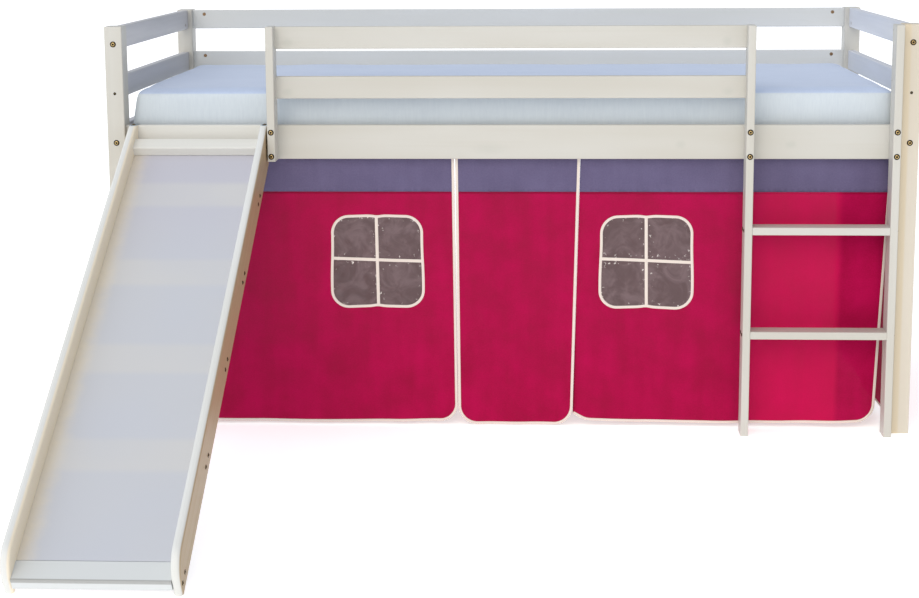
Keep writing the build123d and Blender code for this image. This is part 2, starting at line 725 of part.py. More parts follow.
def add_door():
    """The curtain's middle panel, which swings on a rolled edge just under the rail and its header."""
    outline = front_outline(door_top_span, door_foot_span, curtain_top, door_hem, door_corner)
    cloth = folded_cloth(door_top_span, curtain_top, door_hem) & outline
    above = block((-half_length, half_length), curtain_cut, (hinge_z, post_height))
    axis_start = (door_top_span[0] - overrun, hinge_y, hinge_z)
    axis_length = door_top_width + 2 * overrun
    roll = rod(axis_start, X_AXIS, door_roll_radius, axis_length) & outline
    room = rod(axis_start, X_AXIS, door_roll_radius + door_roll_play, axis_length)
    pieces["curtain_door_header"] = (cloth & above) - room
    split_at_band("curtain_door", (cloth - above) + roll, band_bottom)


def add_end_curtains():
    """A plain panel inside each end rail, hung from its own tape."""
    length = back_front_y - post_depth - 2 * curtain_inset
    middle_y = bed_width / 2
    for side, x_sign in (("left", -1), ("right", 1)):
        span = (-length / 2, length / 2)
        outline = front_outline(span, span, curtain_top, curtain_hem, curtain_corner)
        cloth = folded_cloth(span, curtain_top, curtain_hem) & outline
        # The cloth is made as a front panel and turned to face out of the bed's end.
        hang_x = end_rail_inner_x - tape_thickness - cloth_gap
        place = Pos(x_sign * (hang_x + curtain_front_y), middle_y, 0) * Rot(0, 0, x_sign * 90)
        body = place * cloth
        top = block((-half_length, half_length), (0, bed_width), (band_bottom, post_height))
        pieces["curtain_end_" + side] = body - top
        put("curtain_end_bands", body & top)


def add_tapes():
    """Hook tape stuck inside the front rail and the end rails, for the curtains' loop side."""
    z_span = (rail_bottom + tape_drop, curtain_top)
    x_reach = post_inner_x - curtain_inset
    put("curtain_tapes", block((-x_reach, x_reach), (rail_back_y, rail_back_y + tape_thickness), z_span))
    y_span = (post_depth + curtain_inset, back_front_y - curtain_inset)
    for x_sign in (-1, 1):
        x_span = sorted((x_sign * end_rail_inner_x, x_sign * (end_rail_inner_x - tape_thickness)))
        put("curtain_tapes", block(x_span, y_span, z_span))


def save_all():
    """Drills every piece, centres the model on its footprint and writes one file for a piece."""
    shift_y = -(bed_width + bolt_head_height + slide_front_y) / 2
    centre = Pos(0, shift_y, 0)
    print("slide angle", round(math.degrees(slide_angle), 2), "shift in Y", round(shift_y, 3))
    print("door left", round(door_left, 3), "hinge", round(hinge_y + shift_y, 3), hinge_z)
    os.makedirs("parts", exist_ok=True)
    for name, solid in pieces.items():
        if name in holes:
            solid = solid - holes[name]
        export_step(centre * solid, "parts/" + name + ".step")
    for name, solids in groups.items():
        export_step(Compound(children=[centre * solid for solid in solids]), "parts/" + name + ".step")


add_posts()
add_side_rails()
add_end_boards("left", -1)
add_end_boards("right", 1)
add_back_planks()
add_guard()
add_ladder()
add_slat_base()
add_mattress()
add_slide()
add_front_curtains()
add_door()
add_end_curtains()
add_tapes()
save_all()
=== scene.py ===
# %% [markdown]
# # A child's mid-height bed, dressed
# The timber, the fasteners and the plain shapes of the soft parts come ready-made, as a frame of
# fixed meshes. This lesson gives every surface its finish, drives in the screws, stuffs the
# mattress and sews the play curtain: cloth, bindings, stitches and crinkled windows.
# Everything is in metres, with the origin in the middle of the footprint on the floor.
# %% Load the frame
import math

import bmesh
import bpy
import numpy as np
from mathutils import Matrix, Vector
from mathutils.geometry import delaunay_2d_cdt


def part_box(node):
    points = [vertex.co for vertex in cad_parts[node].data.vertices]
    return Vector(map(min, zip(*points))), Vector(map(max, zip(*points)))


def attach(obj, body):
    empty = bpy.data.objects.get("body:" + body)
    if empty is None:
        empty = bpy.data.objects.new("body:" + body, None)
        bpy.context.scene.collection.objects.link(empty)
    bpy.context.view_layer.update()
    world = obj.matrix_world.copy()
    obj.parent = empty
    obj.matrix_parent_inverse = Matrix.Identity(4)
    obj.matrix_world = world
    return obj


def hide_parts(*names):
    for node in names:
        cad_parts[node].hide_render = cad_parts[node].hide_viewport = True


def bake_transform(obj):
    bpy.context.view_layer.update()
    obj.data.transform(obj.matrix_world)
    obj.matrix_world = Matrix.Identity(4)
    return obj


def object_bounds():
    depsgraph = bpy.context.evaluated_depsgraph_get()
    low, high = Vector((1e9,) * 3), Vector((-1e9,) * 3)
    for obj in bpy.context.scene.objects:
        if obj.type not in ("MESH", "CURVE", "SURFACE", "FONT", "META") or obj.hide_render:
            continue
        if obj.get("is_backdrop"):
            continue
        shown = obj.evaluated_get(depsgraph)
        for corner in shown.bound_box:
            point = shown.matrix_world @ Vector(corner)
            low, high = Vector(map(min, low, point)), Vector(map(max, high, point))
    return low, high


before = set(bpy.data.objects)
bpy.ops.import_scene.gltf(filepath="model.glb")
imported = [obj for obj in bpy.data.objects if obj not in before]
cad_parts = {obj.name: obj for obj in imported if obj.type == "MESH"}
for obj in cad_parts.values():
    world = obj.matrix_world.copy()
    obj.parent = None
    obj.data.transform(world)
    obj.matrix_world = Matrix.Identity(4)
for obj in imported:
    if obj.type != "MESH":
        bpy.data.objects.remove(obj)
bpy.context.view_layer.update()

MM = 0.001

# %% [markdown]
# ## Camera, floor and light
# The photograph was taken a little right of the bed's middle, from just above the guard rail. The
# camera's place and turn were fitted to the posts, rails and slide feet, and the small vertical
# shift stands for the lens that kept the posts upright. A catalogue picture has no visible walls,
# so one wide pale floor fills the frame, and it glows a little, as a light table does, which keeps
# the shadows faint. The sky is pale and cool. A warm lamp stands in front and a cool one at the
# left, both very wide, which leaves the inner faces a little blue, as they are in the photograph.
# %% Camera
CAMERA_PLACE = Vector((0.1030, -4.4757, 1.3141))
CAMERA_YAW = -0.0502
CAMERA_PITCH = 0.1675
CAMERA_ROLL = 0.0060
CAMERA_FOCAL_PIXELS = 1804.9
PHOTO_WIDTH = 919
SENSOR_WIDTH = 36
CAMERA_SHIFT_Y = -0.075


def camera_axes(yaw, pitch, roll):
    """Right, up and forward for a camera that looks along +Y before it is turned."""
    forward = Vector((math.sin(yaw) * math.cos(pitch), math.cos(yaw) * math.cos(pitch), -math.sin(pitch)))
    level_right = Vector((math.cos(yaw), -math.sin(yaw), 0))
    level_down = forward.cross(level_right)
    right = level_right * math.cos(roll) + level_down * math.sin(roll)
    down = level_down * math.cos(roll) - level_right * math.sin(roll)
    return right, -down, forward


right, up, forward = camera_axes(CAMERA_YAW, CAMERA_PITCH, CAMERA_ROLL)
lens = bpy.data.cameras.new("photo_camera")
lens.sensor_width = SENSOR_WIDTH
lens.lens = CAMERA_FOCAL_PIXELS * SENSOR_WIDTH / PHOTO_WIDTH
lens.shift_y = CAMERA_SHIFT_Y
camera = bpy.data.objects.new("photo_camera", lens)
bpy.context.scene.collection.objects.link(camera)
turn = Matrix((right, up, -forward)).transposed().to_4x4()
camera.matrix_world = Matrix.Translation(CAMERA_PLACE) @ turn
bpy.context.scene.camera = camera
print("lens", round(lens.lens, 2), "mm")


# %% Node helpers, used by every material and tree below
def node(tree, kind, inputs=None, **settings):
    """Adds a node. An input given a socket is linked, and any other value is set on it."""
    made = tree.nodes.new(kind)
    for key, value in settings.items():
        setattr(made, key, value)
    for key, value in (inputs or {}).items():
        if isinstance(value, bpy.types.NodeSocket):
            tree.links.new(value, made.inputs[key])
        else:
            made.inputs[key].default_value = value
    return made


def maths(tree, operation, first, second=0.0, third=0.0):
    """One step of arithmetic on numbers or sockets."""
    return node(tree, "ShaderNodeMath", {0: first, 1: second, 2: third}, operation=operation).outputs[0]


def vectors(tree, operation, first, second, result=0):
    """One step of arithmetic on vectors."""
    return node(tree, "ShaderNodeVectorMath", {0: first, 1: second}, operation=operation).outputs[result]


def scaled(tree, vector, factor):
    return node(tree, "ShaderNodeVectorMath", {0: vector, "Scale": factor}, operation="SCALE").outputs[0]


def axis_of(tree, vector, axis):
    """One coordinate of a vector: 0, 1 or 2 for X, Y or Z."""
    return node(tree, "ShaderNodeSeparateXYZ", {0: vector}).outputs[axis]


def tint(tree, factor, first, second):
    """A colour between two others."""
    return node(tree, "ShaderNodeMix", {0: factor, 6: first, 7: second}, data_type="RGBA").outputs[2]


def spread(tree, value, low, high, to_low=0.0, to_high=1.0):
    """A number carried smoothly from one range to another."""
    inputs = {0: value, 1: low, 2: high, 3: to_low, 4: to_high}
    return node(tree, "ShaderNodeMapRange", inputs, interpolation_type="SMOOTHSTEP").outputs[0]


def noise(tree, vector, scale, detail=2.0, roughness=0.5, distortion=0.0):
    inputs = {"Vector": vector, "Scale": scale, "Detail": detail, "Roughness": roughness,
              "Distortion": distortion}
    return node(tree, "ShaderNodeTexNoise", inputs).outputs[0]


def bump(tree, height, strength, distance=0.001):
    """A normal that follows a height, in metres."""
    inputs = {"Height": height, "Strength": strength, "Distance": distance}
    return node(tree, "ShaderNodeBump", inputs).outputs[0]


def connect(tree, ends, **values):
    """Links each value to the input of that name, where _ stands for a space."""
    for title, value in values.items():
        tree.links.new(value, ends[title.replace("_", " ")])


def new_group(name, inputs, outputs):
    """An empty shader group with its sockets, and its two end nodes."""
    group = bpy.data.node_groups.new(name, "ShaderNodeTree")
    for title, kind, value in inputs:
        socket = group.interface.new_socket(title, in_out="INPUT", socket_type="NodeSocket" + kind)
        if value is not None:
            socket.default_value = value
    for title, kind in outputs:
        group.interface.new_socket(title, in_out="OUTPUT", socket_type="NodeSocket" + kind)
    return group, group.nodes.new("NodeGroupInput").outputs, group.nodes.new("NodeGroupOutput").inputs


def new_material(name, **surface):
    """A material with one Principled shader, whose constants are set on its own sockets."""
    material = bpy.data.materials.new(name)
    material.use_nodes = True
    tree = material.node_tree
    shader = tree.nodes["Principled BSDF"]
    for title, value in surface.items():
        shader.inputs[title.replace("_", " ")].default_value = value
    return material, tree, shader.inputs


def place_of(tree):
    """The place of a point on the finished object, in metres."""
    return tree.nodes.new("ShaderNodeTexCoord").outputs["Object"]


# %% Floor and light
FLOOR_REACH = 40.0
FLOOR_COLOUR = (0.96, 0.96, 0.96, 1)
FLOOR_GLOW = 0.50
SKY_COLOUR = (0.87, 0.92, 1.0, 1)
SKY_STRENGTH = 0.60
LAMPS = {
    "front_light": (1.5, (1.0, 0.93, 0.82), 50, Vector((-0.2, -1.0, 0.6))),
    "window_light": (0.9, (0.80, 0.89, 1.0), 60, Vector((-1.0, -0.15, 0.8))),
}

floor_mesh = bpy.data.meshes.new("studio_floor")
corners = [(x * FLOOR_REACH, y * FLOOR_REACH, 0) for x, y in ((-1, -1), (1, -1), (1, 1), (-1, 1))]
floor_mesh.from_pydata(corners, [], [(0, 1, 2, 3)])
floor = bpy.data.objects.new("studio_floor", floor_mesh)
bpy.context.scene.collection.objects.link(floor)
floor_paper = new_material("floor_paper", Base_Color=FLOOR_COLOUR, Roughness=0.9,
                           Emission_Color=FLOOR_COLOUR, Emission_Strength=FLOOR_GLOW)[0]
floor_mesh.materials.append(floor_paper)
floor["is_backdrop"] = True

sky = bpy.data.worlds.new("pale_sky")
sky.use_nodes = True
sky.node_tree.nodes["Background"].inputs["Color"].default_value = SKY_COLOUR
sky.node_tree.nodes["Background"].inputs["Strength"].default_value = SKY_STRENGTH
bpy.context.scene.world = sky
bpy.context.scene.view_settings.view_transform = "Standard"

for title, (strength, colour, spread_degrees, towards_lamp) in LAMPS.items():
    lamp = bpy.data.lights.new(title, "SUN")
    lamp.energy = strength
    lamp.color = colour
    lamp.angle = math.radians(spread_degrees)
    hung = bpy.data.objects.new(title, lamp)
    hung.rotation_mode = "QUATERNION"
    hung.rotation_quaternion = towards_lamp.to_track_quat("Z", "Y")
    bpy.context.scene.collection.objects.link(hung)
print("floor", FLOOR_REACH * 2, "m wide under", len(LAMPS), "lamps")

# %% [markdown]
# ## Paint over pine
# The bed is pine under a thin cream paint. Up close the grain still lifts the paint a little and
# the knots ghost through as greenish smudges. One node group makes grain for any direction: it
# splits a point into its part along the grain, which is stretched, and the rest, which is not.
# Image textures could do this too, but a group follows every board without any unwrapping.
# %% Grain group
GRAIN_STRETCH = (90.0, 2.2)
TONE_STRETCH = (9.0, 1.3)
KNOT_STRETCH = (5.5, 1.9)
KNOT_EDGE = (0.05, 0.15)
KNOT_CHOICE = (0.50, 0.62)


def build_grain():
    """Grain lines, slow changes of tone and knots, for timber whose grain runs one way."""
    sockets = [("Vector", "Vector", None), ("Grain", "Vector", (1, 0, 0))]
    results = [("Lines", "Float"), ("Tone", "Float"), ("Knots", "Float")]
    group, given, result = new_group("pine_grain", sockets, results)
    along = vectors(group, "DOT_PRODUCT", given["Vector"], given["Grain"], "Value")
    on_grain = scaled(group, given["Grain"], along)
    across = vectors(group, "SUBTRACT", given["Vector"], on_grain)

    def stretched(scales):
        return vectors(group, "ADD", scaled(group, across, scales[0]), scaled(group, on_grain, scales[1]))

    cells = node(group, "ShaderNodeTexVoronoi", {"Vector": stretched(KNOT_STRETCH), "Scale": 1.0,
                                                 "Randomness": 1.0}).outputs
    spot = spread(group, cells["Distance"], *KNOT_EDGE, 1.0, 0.0)
    cell_tone = node(group, "ShaderNodeSeparateColor", {0: cells["Color"]}).outputs[0]
    connect(group, result, Lines=noise(group, stretched(GRAIN_STRETCH), 1.0, 3.0, 0.6, 0.4),
            Tone=noise(group, stretched(TONE_STRETCH), 1.0, 2.0),
            Knots=maths(group, "MULTIPLY", spot, spread(group, cell_tone, *KNOT_CHOICE)))
    return group


pine_grain = build_grain()


def grain_of(tree, direction):
    """The grain group placed in a material, for one direction."""
    inputs = {"Vector": place_of(tree), "Grain": direction}
    return node(tree, "ShaderNodeGroup", inputs, node_tree=pine_grain).outputs


# %% Knots seen from the front
KNOT_RADIUS = 15 * MM
KNOT_CORE = 5 * MM
KNOT_RAGGED = 10 * MM
FRONT_KNOTS = [(0.439, 0.756), (0.720, 0.756), (-0.566, 1.021), (-0.566, 0.893), (0.552, 1.021),
               (0.555, 0.894)]


def build_knot():
    """A soft smudge round one place on an upright board, seen from the front."""
    sockets = [("Vector", "Vector", None), ("Centre", "Vector", (0, 0, 0))]
    group, given, result = new_group("knot_smudge", sockets, [("Smudge", "Float")])
    offset = vectors(group, "SUBTRACT", given["Vector"], given["Centre"])
    flat = vectors(group, "MULTIPLY", offset, (0.8, 0, 1))
    away = vectors(group, "LENGTH", flat, (0, 0, 0), "Value")
    ragged = maths(group, "MULTIPLY", noise(group, given["Vector"], 60.0, 3.0), KNOT_RAGGED)
    away = maths(group, "ADD", maths(group, "SUBTRACT", away, KNOT_CORE), ragged)
    connect(group, result, Smudge=spread(group, away, 0.2 * KNOT_RADIUS, KNOT_RADIUS, 1.0, 0.0))
    return group


knot_smudge = build_knot()

# %% Colours of the cream paint
# Each mix is the direction of the grain, a warm coat and a pale coat. Boards that face another way
# have their own mix, and several of these are painted light and shade: the back boards and the right
# end are painted in cool light, the left end in cool shade, the right post in warm light, the slide
# foot's front face in shade, and the slide's top board is painted lighter.
slide_low, slide_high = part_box("slide_panel")
SLOPE = Vector((0, slide_high.y - slide_low.y, slide_high.z - slide_low.z)).normalized()
ALONG_X, ALONG_Y, ALONG_Z = (1, 0, 0), (0, 1, 0), (0, 0, 1)
FRAME_COATS = (0.505, 0.486, 0.434, 1), (0.546, 0.534, 0.494, 1)
SLIDE_COATS = (0.640, 0.640, 0.610, 1), (0.675, 0.680, 0.665, 1)
PAINT_KNOT = (0.400, 0.415, 0.370, 1)
PAINT_AND_LIGHT_MIXES = {
    "x": (ALONG_X, *FRAME_COATS),
    "front": (ALONG_X, *FRAME_COATS),
    "back": (ALONG_X, (0.590, 0.600, 0.590, 1), (0.625, 0.640, 0.645, 1)),
    "left end": (ALONG_Y, (0.500, 0.490, 0.500, 1), (0.530, 0.520, 0.535, 1)),
    "right end": (ALONG_Y, (0.600, 0.610, 0.650, 1), (0.640, 0.655, 0.715, 1)),
    "z": (ALONG_Z, *FRAME_COATS),
    "right post": (ALONG_Z, (0.595, 0.535, 0.440, 1), (0.620, 0.570, 0.490, 1)),
    "foot": (ALONG_X, (0.335, 0.335, 0.322, 1), (0.360, 0.364, 0.356, 1)),
    "top board": (ALONG_X, (0.640, 0.628, 0.580, 1), (0.690, 0.682, 0.645, 1)),
    "slide left": (tuple(SLOPE), *SLIDE_COATS),
    "slide right": (tuple(SLOPE), *SLIDE_COATS),
}

# %% Faces with painted light and shade
# A face is (axis, start, end, colour), where the colour takes over from start to end. These colours
# are painted light and shade: the front rail is painted lighter left of the guard stile, the right
# post has painted shade and a painted reflection of the curtain beside the ladder stile, and the
# top face of the slide foot is painted lighter. The right slide board's outer face is tan as painted
# shade and a painted reflection of the crimson curtain. The left slide board's inner face is a pale
# tan that lifts the shade there, and its outer face is a tan that matches the right board.
left_board, right_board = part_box("slide_side_left"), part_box("slide_side_right")
foot_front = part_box("slide_foot_board")[0].y
stile_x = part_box("guard_stile")[0].x
post_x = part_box("post_front_right")[0].x
LIGHT_AND_SHADE_FACES = {
    "front": [(0, stile_x + 6 * MM, stile_x - 4 * MM, (0.640, 0.630, 0.590, 1))],
    "right post": [(0, post_x + 22 * MM, post_x + 14 * MM, (0.620, 0.530, 0.390, 1))],
    "foot": [(1, foot_front + 2 * MM, foot_front + 4 * MM, (0.600, 0.620, 0.625, 1))],
    "slide left": [(0, left_board[1].x - 7 * MM, left_board[1].x - 2 * MM, (0.880, 0.775, 0.610, 1)),
                   (0, left_board[0].x + 3.5 * MM, left_board[0].x + 0.5 * MM, (0.560, 0.500, 0.405, 1))],
    "slide right": [(0, right_board[1].x - 3.5 * MM, right_board[1].x - 0.5 * MM,
                     (0.395, 0.290, 0.165, 1))],
}


# %% Mix the paints
def paint_material(mix):
    """Thin paint over grain, for one kind of board, with the painted light and shade of its mix and faces.
    """
    direction, warm, pale = PAINT_AND_LIGHT_MIXES[mix]
    material, tree, shader = new_material("cream_paint_" + mix.replace(" ", "_"), Specular_IOR_Level=0.35,
                                          Coat_Roughness=0.3)
    grain = grain_of(tree, direction)
    place = place_of(tree)
    colour = tint(tree, spread(tree, grain["Tone"], 0.3, 0.7), warm, pale)
    colour = tint(tree, spread(tree, grain["Lines"], 0.52, 0.72, 0.0, 0.3), colour, warm)
    colour = tint(tree, maths(tree, "MULTIPLY", grain["Knots"], 0.35), colour, PAINT_KNOT)
    for centre_x, centre_z in FRONT_KNOTS if mix == "front" else []:
        smudge = node(tree, "ShaderNodeGroup", {"Vector": place, "Centre": (centre_x, 0, centre_z)},
                      node_tree=knot_smudge).outputs[0]
        colour = tint(tree, maths(tree, "MULTIPLY", smudge, 0.28), colour, PAINT_KNOT)
    # Painted light and shade on single faces.
    for axis, start, end, light_and_shade_colour in LIGHT_AND_SHADE_FACES.get(mix, []):
        along = axis_of(tree, place, axis)
        rising = end > start
        share = spread(tree, along, start, end) if rising else spread(tree, along, end, start, 1.0, 0.0)
        colour = tint(tree, share, colour, light_and_shade_colour)
    orange_peel = maths(tree, "MULTIPLY", noise(tree, place, 900.0, 1.0), 0.03)
    height = maths(tree, "ADD", maths(tree, "MULTIPLY", grain["Lines"], 0.16), orange_peel)
    connect(tree, shader, Base_Color=colour, Normal=bump(tree, height, 0.55),
            Roughness=spread(tree, grain["Lines"], 0.3, 0.8, 0.36, 0.50))
    return material


paints = {mix: paint_material(mix) for mix in PAINT_AND_LIGHT_MIXES}
print(len(paints), "paints, and the slide slopes at", round(math.degrees(math.atan2(SLOPE.z, SLOPE.y)), 2))

# %% [markdown]
# ## The sliding panel
# The panel is a thin lacquered board. It is smoother and bluer than the paint, and where a cross
# slat backs it the lacquer is a shade paler and warmer, so four pale bands cross it. Their places
# come from the slats themselves. The lacquer is more lilac towards the top. Along the left board it
# is painted light: a pale tan, as a warm reflection from that board, which also lifts the shade the
# board casts there.
# %% Panel lacquer
PANEL_BLUE = (0.510, 0.525, 0.575, 1)
PANEL_LILAC = (0.485, 0.478, 0.545, 1)
PANEL_BAND = (0.560, 0.556, 0.560, 1)
PANEL_WARM = (0.525, 0.532, 0.560, 1)
PANEL_TAN_LIGHT = (0.740, 0.660, 0.520, 1)
PANEL_EDGE = 30 * MM
BAND_HALF_WIDTH = 46 * MM
BAND_SOFTNESS = 12 * MM


def middle_of(name):
    low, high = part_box(name)
    return (low + high) / 2


slat_runs = [middle_of("slide_cross_slat_" + str(index + 1)).dot(SLOPE) for index in range(4)]
band_pitch = (slat_runs[3] - slat_runs[0]) / 3


def panel_material():
    material, tree, shader = new_material("panel_lacquer", Coat_Weight=0.1, Coat_Roughness=0.3)
    place = place_of(tree)
    run = vectors(tree, "DOT_PRODUCT", place, tuple(SLOPE), "Value")
    step = maths(tree, "DIVIDE", maths(tree, "SUBTRACT", run, slat_runs[0]), band_pitch)
    nearest = maths(tree, "MINIMUM", maths(tree, "MAXIMUM", maths(tree, "ROUND", step), 0.0), 3.0)
    away = maths(tree, "ABSOLUTE", maths(tree, "SUBTRACT", step, nearest))
    away = maths(tree, "MULTIPLY", away, band_pitch)
    band = spread(tree, away, BAND_HALF_WIDTH - BAND_SOFTNESS, BAND_HALF_WIDTH + BAND_SOFTNESS, 1.0, 0.0)
    cloudy = noise(tree, place, 5.0, 1.0)
    colour = tint(tree, spread(tree, cloudy, 0.35, 0.7, 0.0, 0.5), PANEL_BLUE, PANEL_WARM)
    high_up = spread(tree, axis_of(tree, place, 2), slide_high.z * 0.6, slide_high.z, 0.0, 0.9)
    colour = tint(tree, high_up, colour, PANEL_LILAC)
    faint = maths(tree, "MULTIPLY", band, spread(tree, cloudy, 0.3, 0.7, 0.55, 0.9))
    colour = tint(tree, faint, colour, PANEL_BAND)
    # Painted light along the left board: a pale tan reflection over the shade of that board.
    ragged = maths(tree, "MULTIPLY_ADD", noise(tree, place, 25.0, 4.0, 0.7), PANEL_EDGE,
                   axis_of(tree, place, 0))
    edge = left_board[1].x
    tan = spread(tree, ragged, edge + PANEL_EDGE * 0.4, edge + PANEL_EDGE * 2.2, 0.75, 0.0)
    connect(tree, shader, Base_Color=tint(tree, tan, colour, PANEL_TAN_LIGHT),
            Roughness=spread(tree, noise(tree, place, 6.0), 0.3, 0.7, 0.34, 0.42),
            Normal=bump(tree, noise(tree, place, 9.0, 1.0), 0.02))
    return material


panel_lacquer = panel_material()
print("bands every", round(band_pitch / MM), "mm")

# %% [markdown]
# ## Bare pine, brass and zinc
# The slats and ledges are left bare, so the same grain group now colours real wood. The metals
# are small: bronzed bolt heads, brassed nuts, yellow screws and two zinc straps. Each gets a
# mottled colour and an uneven roughness, because a perfectly even metal looks like plastic.
# %% Wood and metal materials
PINE_PALE = (0.78, 0.62, 0.40, 1)
PINE_DARK = (0.62, 0.43, 0.23, 1)
PINE_KNOT = (0.25, 0.13, 0.06, 1)


def pine_material(name, direction):
    material, tree, shader = new_material(name)
    grain = grain_of(tree, direction)
    colour = tint(tree, spread(tree, grain["Lines"], 0.35, 0.7), PINE_PALE, PINE_DARK)
    colour = tint(tree, spread(tree, grain["Tone"], 0.4, 0.8, 0.0, 0.4), colour, PINE_DARK)
    colour = tint(tree, grain["Knots"], colour, PINE_KNOT)
    connect(tree, shader, Base_Color=colour, Normal=bump(tree, grain["Lines"], 0.5),
            Roughness=spread(tree, grain["Lines"], 0.3, 0.8, 0.55, 0.75))
    return material


def metal_material(name, bright, dull, roughness, dark=None):
    """Mottled metal. Given a dark colour, it also follows the patina value stored on its points."""
    material, tree, shader = new_material(name, Metallic=1.0)
    place = place_of(tree)
    patches = noise(tree, place, 700.0, 3.0)
    colour = tint(tree, spread(tree, patches, 0.35, 0.65), bright, dull)
    if dark:
        patina = node(tree, "ShaderNodeAttribute", attribute_name="patina").outputs["Fac"]
        colour = tint(tree, patina, colour, dark)
        patches = maths(tree, "ADD", patches, patina)
    connect(tree, shader, Base_Color=colour, Normal=bump(tree, noise(tree, place, 2400.0), 0.06),
            Roughness=spread(tree, patches, 0.3, 1.3 if dark else 0.7, *roughness))
    return material


bare_pine = {"x": pine_material("bare_pine_x", ALONG_X), "y": pine_material("bare_pine_y", ALONG_Y)}
nut_brass = metal_material("nut_brass", (0.34, 0.22, 0.12, 1), (0.20, 0.13, 0.08, 1), (0.30, 0.48))
strap_zinc = metal_material("strap_zinc", (0.52, 0.58, 0.64, 1), (0.33, 0.38, 0.44, 1), (0.25, 0.42))
bolt_bronze = metal_material("bolt_bronze", (0.62, 0.46, 0.21, 1), (0.30, 0.21, 0.10, 1), (0.22, 0.6),
                             (0.012, 0.008, 0.006, 1))
screw_yellow = metal_material("screw_yellow", (0.30, 0.23, 0.12, 1), (0.14, 0.10, 0.06, 1), (0.22, 0.6),
                              (0.012, 0.010, 0.008, 1))
print("pine, brass, zinc, bronze and yellow steel are mixed")

# %% Finishes for the frame's own meshes
paint_of = {"post_front_right": "right post", "post_": "z", "ladder_stile": "z", "guard_stile": "z",
            "side_rail_front": "front", "side_rail_back": "back", "back_plank": "back",
            "guard_plank": "front",
            "ladder_rung": "x", "end_plank_left": "left end", "end_rail_left": "left end",
            "end_plank_right": "right end", "end_rail_right": "right end", "slide_side_left": "slide left",
            "slide_side_right": "slide right", "slide_cross": "x", "slide_foot": "foot",
            "slide_top": "top board"}
finish_of = {"slide_panel": panel_lacquer, "bed_slats": bare_pine["y"], "slat_ledge_front": bare_pine["x"],
             "slat_ledge_back": bare_pine["x"], "dowels": bare_pine["x"], "barrel_nuts": nut_brass,
             "stile_inserts": nut_brass, "slide_hooks": strap_zinc}
for name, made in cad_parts.items():
    for start, paint in paint_of.items():
        if name.startswith(start) and "screws" not in name:
            finish_of.setdefault(name, paints[paint])
    if name in finish_of:
        made.data.materials.clear()
        made.data.materials.append(finish_of[name])
print(len(finish_of), "frame nodes finished")


# %% Mesh helpers
def new_object(name, mesh, *materials):
    made = bpy.data.objects.new(name, mesh)
    bpy.context.scene.collection.objects.link(made)
    for material in materials:
        mesh.materials.append(material)
    return made


def mesh_of(name, points, faces, edges=()):
    mesh = bpy.data.meshes.new(name)
    mesh.from_pydata([tuple(point) for point in points], list(edges), [tuple(face) for face in faces])
    mesh.update()
    return mesh


def give(mesh, title, values, kind="FLOAT_VECTOR"):
    """Stores a value for each point under a name that a tree can read."""
    attribute = mesh.attributes.new(title, kind, "POINT")
    field = "vector" if kind == "FLOAT_VECTOR" else "value"
    attribute.data.foreach_set(field, np.ravel(values).astype(np.float32))


def settle(made):
    """Turns an object's modifiers into plain mesh."""
    graph = bpy.context.evaluated_depsgraph_get()
    mesh = bpy.data.meshes.new_from_object(made.evaluated_get(graph), preserve_all_data_layers=True,
                                           depsgraph=graph)
    made.modifiers.clear()
    old, made.data = made.data, mesh
    bpy.data.meshes.remove(old)
    return made


def smooth(made):
    made.data.shade_smooth()
    return made


def islands(name):
    """The separate solids of a frame node, as arrays of points."""
    copy = bmesh.new()
    copy.from_mesh(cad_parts[name].data)
    bmesh.ops.remove_doubles(copy, verts=copy.verts, dist=0.02 * MM)
    found, seen = [], set()
    for vertex in copy.verts:
        if vertex in seen:
            continue
        stack, group = [vertex], []
        seen.add(vertex)
        while stack:
            here = stack.pop()
            group.append(here.co.copy())
            for edge in here.link_edges:
                other = edge.other_vert(here)
                if other not in seen:
                    seen.add(other)
                    stack.append(other)
        found.append(np.array(group))
    copy.free()
    return found


# %% [markdown]
# ## Screws and bolts
# Cross-head screws hold the slide, the rungs and the ledges, and bronzed bolts with a hexagon
# socket hold the frame. Both repeat, so Geometry Nodes puts one modelled head and one shank at each
# place. The places, directions and lengths are read from the frame's own plain fasteners. Each head
# carries a dark value, from 0 on its crown to 1 in its recess and round its foot. In the recess it
# is the patina of old bronze, where nobody rubs it. Low on each head, over the whole head of a sunk
# screw and on a wide flat ring round each bolt head, it is painted shade.
# %% Turned shapes and cutters
def lathe(name, profile, turns):
    """A closed turned shape from (radius, height) pairs that start and end on its axis."""
    points, faces = [], []
    rings = []
    for radius, height in profile:
        if radius == 0:
            rings.append([len(points)] * turns)
            points.append((0, 0, height))
        else:
            rings.append(list(range(len(points), len(points) + turns)))
            for index in range(turns):
                angle = math.tau * index / turns
                points.append((radius * math.cos(angle), radius * math.sin(angle), height))
    for lower, upper in zip(rings, rings[1:]):
        for index in range(turns):
            after = (index + 1) % turns
            quad = [lower[index], lower[after], upper[after], upper[index]]
            faces.append(list(dict.fromkeys(quad)))
    return mesh_of(name, points, faces)


def box_mesh(name, half):
    points = [(x * half[0], y * half[1], z * half[2]) for x in (-1, 1) for y in (-1, 1) for z in (-1, 1)]
    faces = [(0, 1, 3, 2), (4, 6, 7, 5), (0, 4, 5, 1), (2, 3, 7, 6), (0, 2, 6, 4), (1, 5, 7, 3)]
    return mesh_of(name, points, faces)


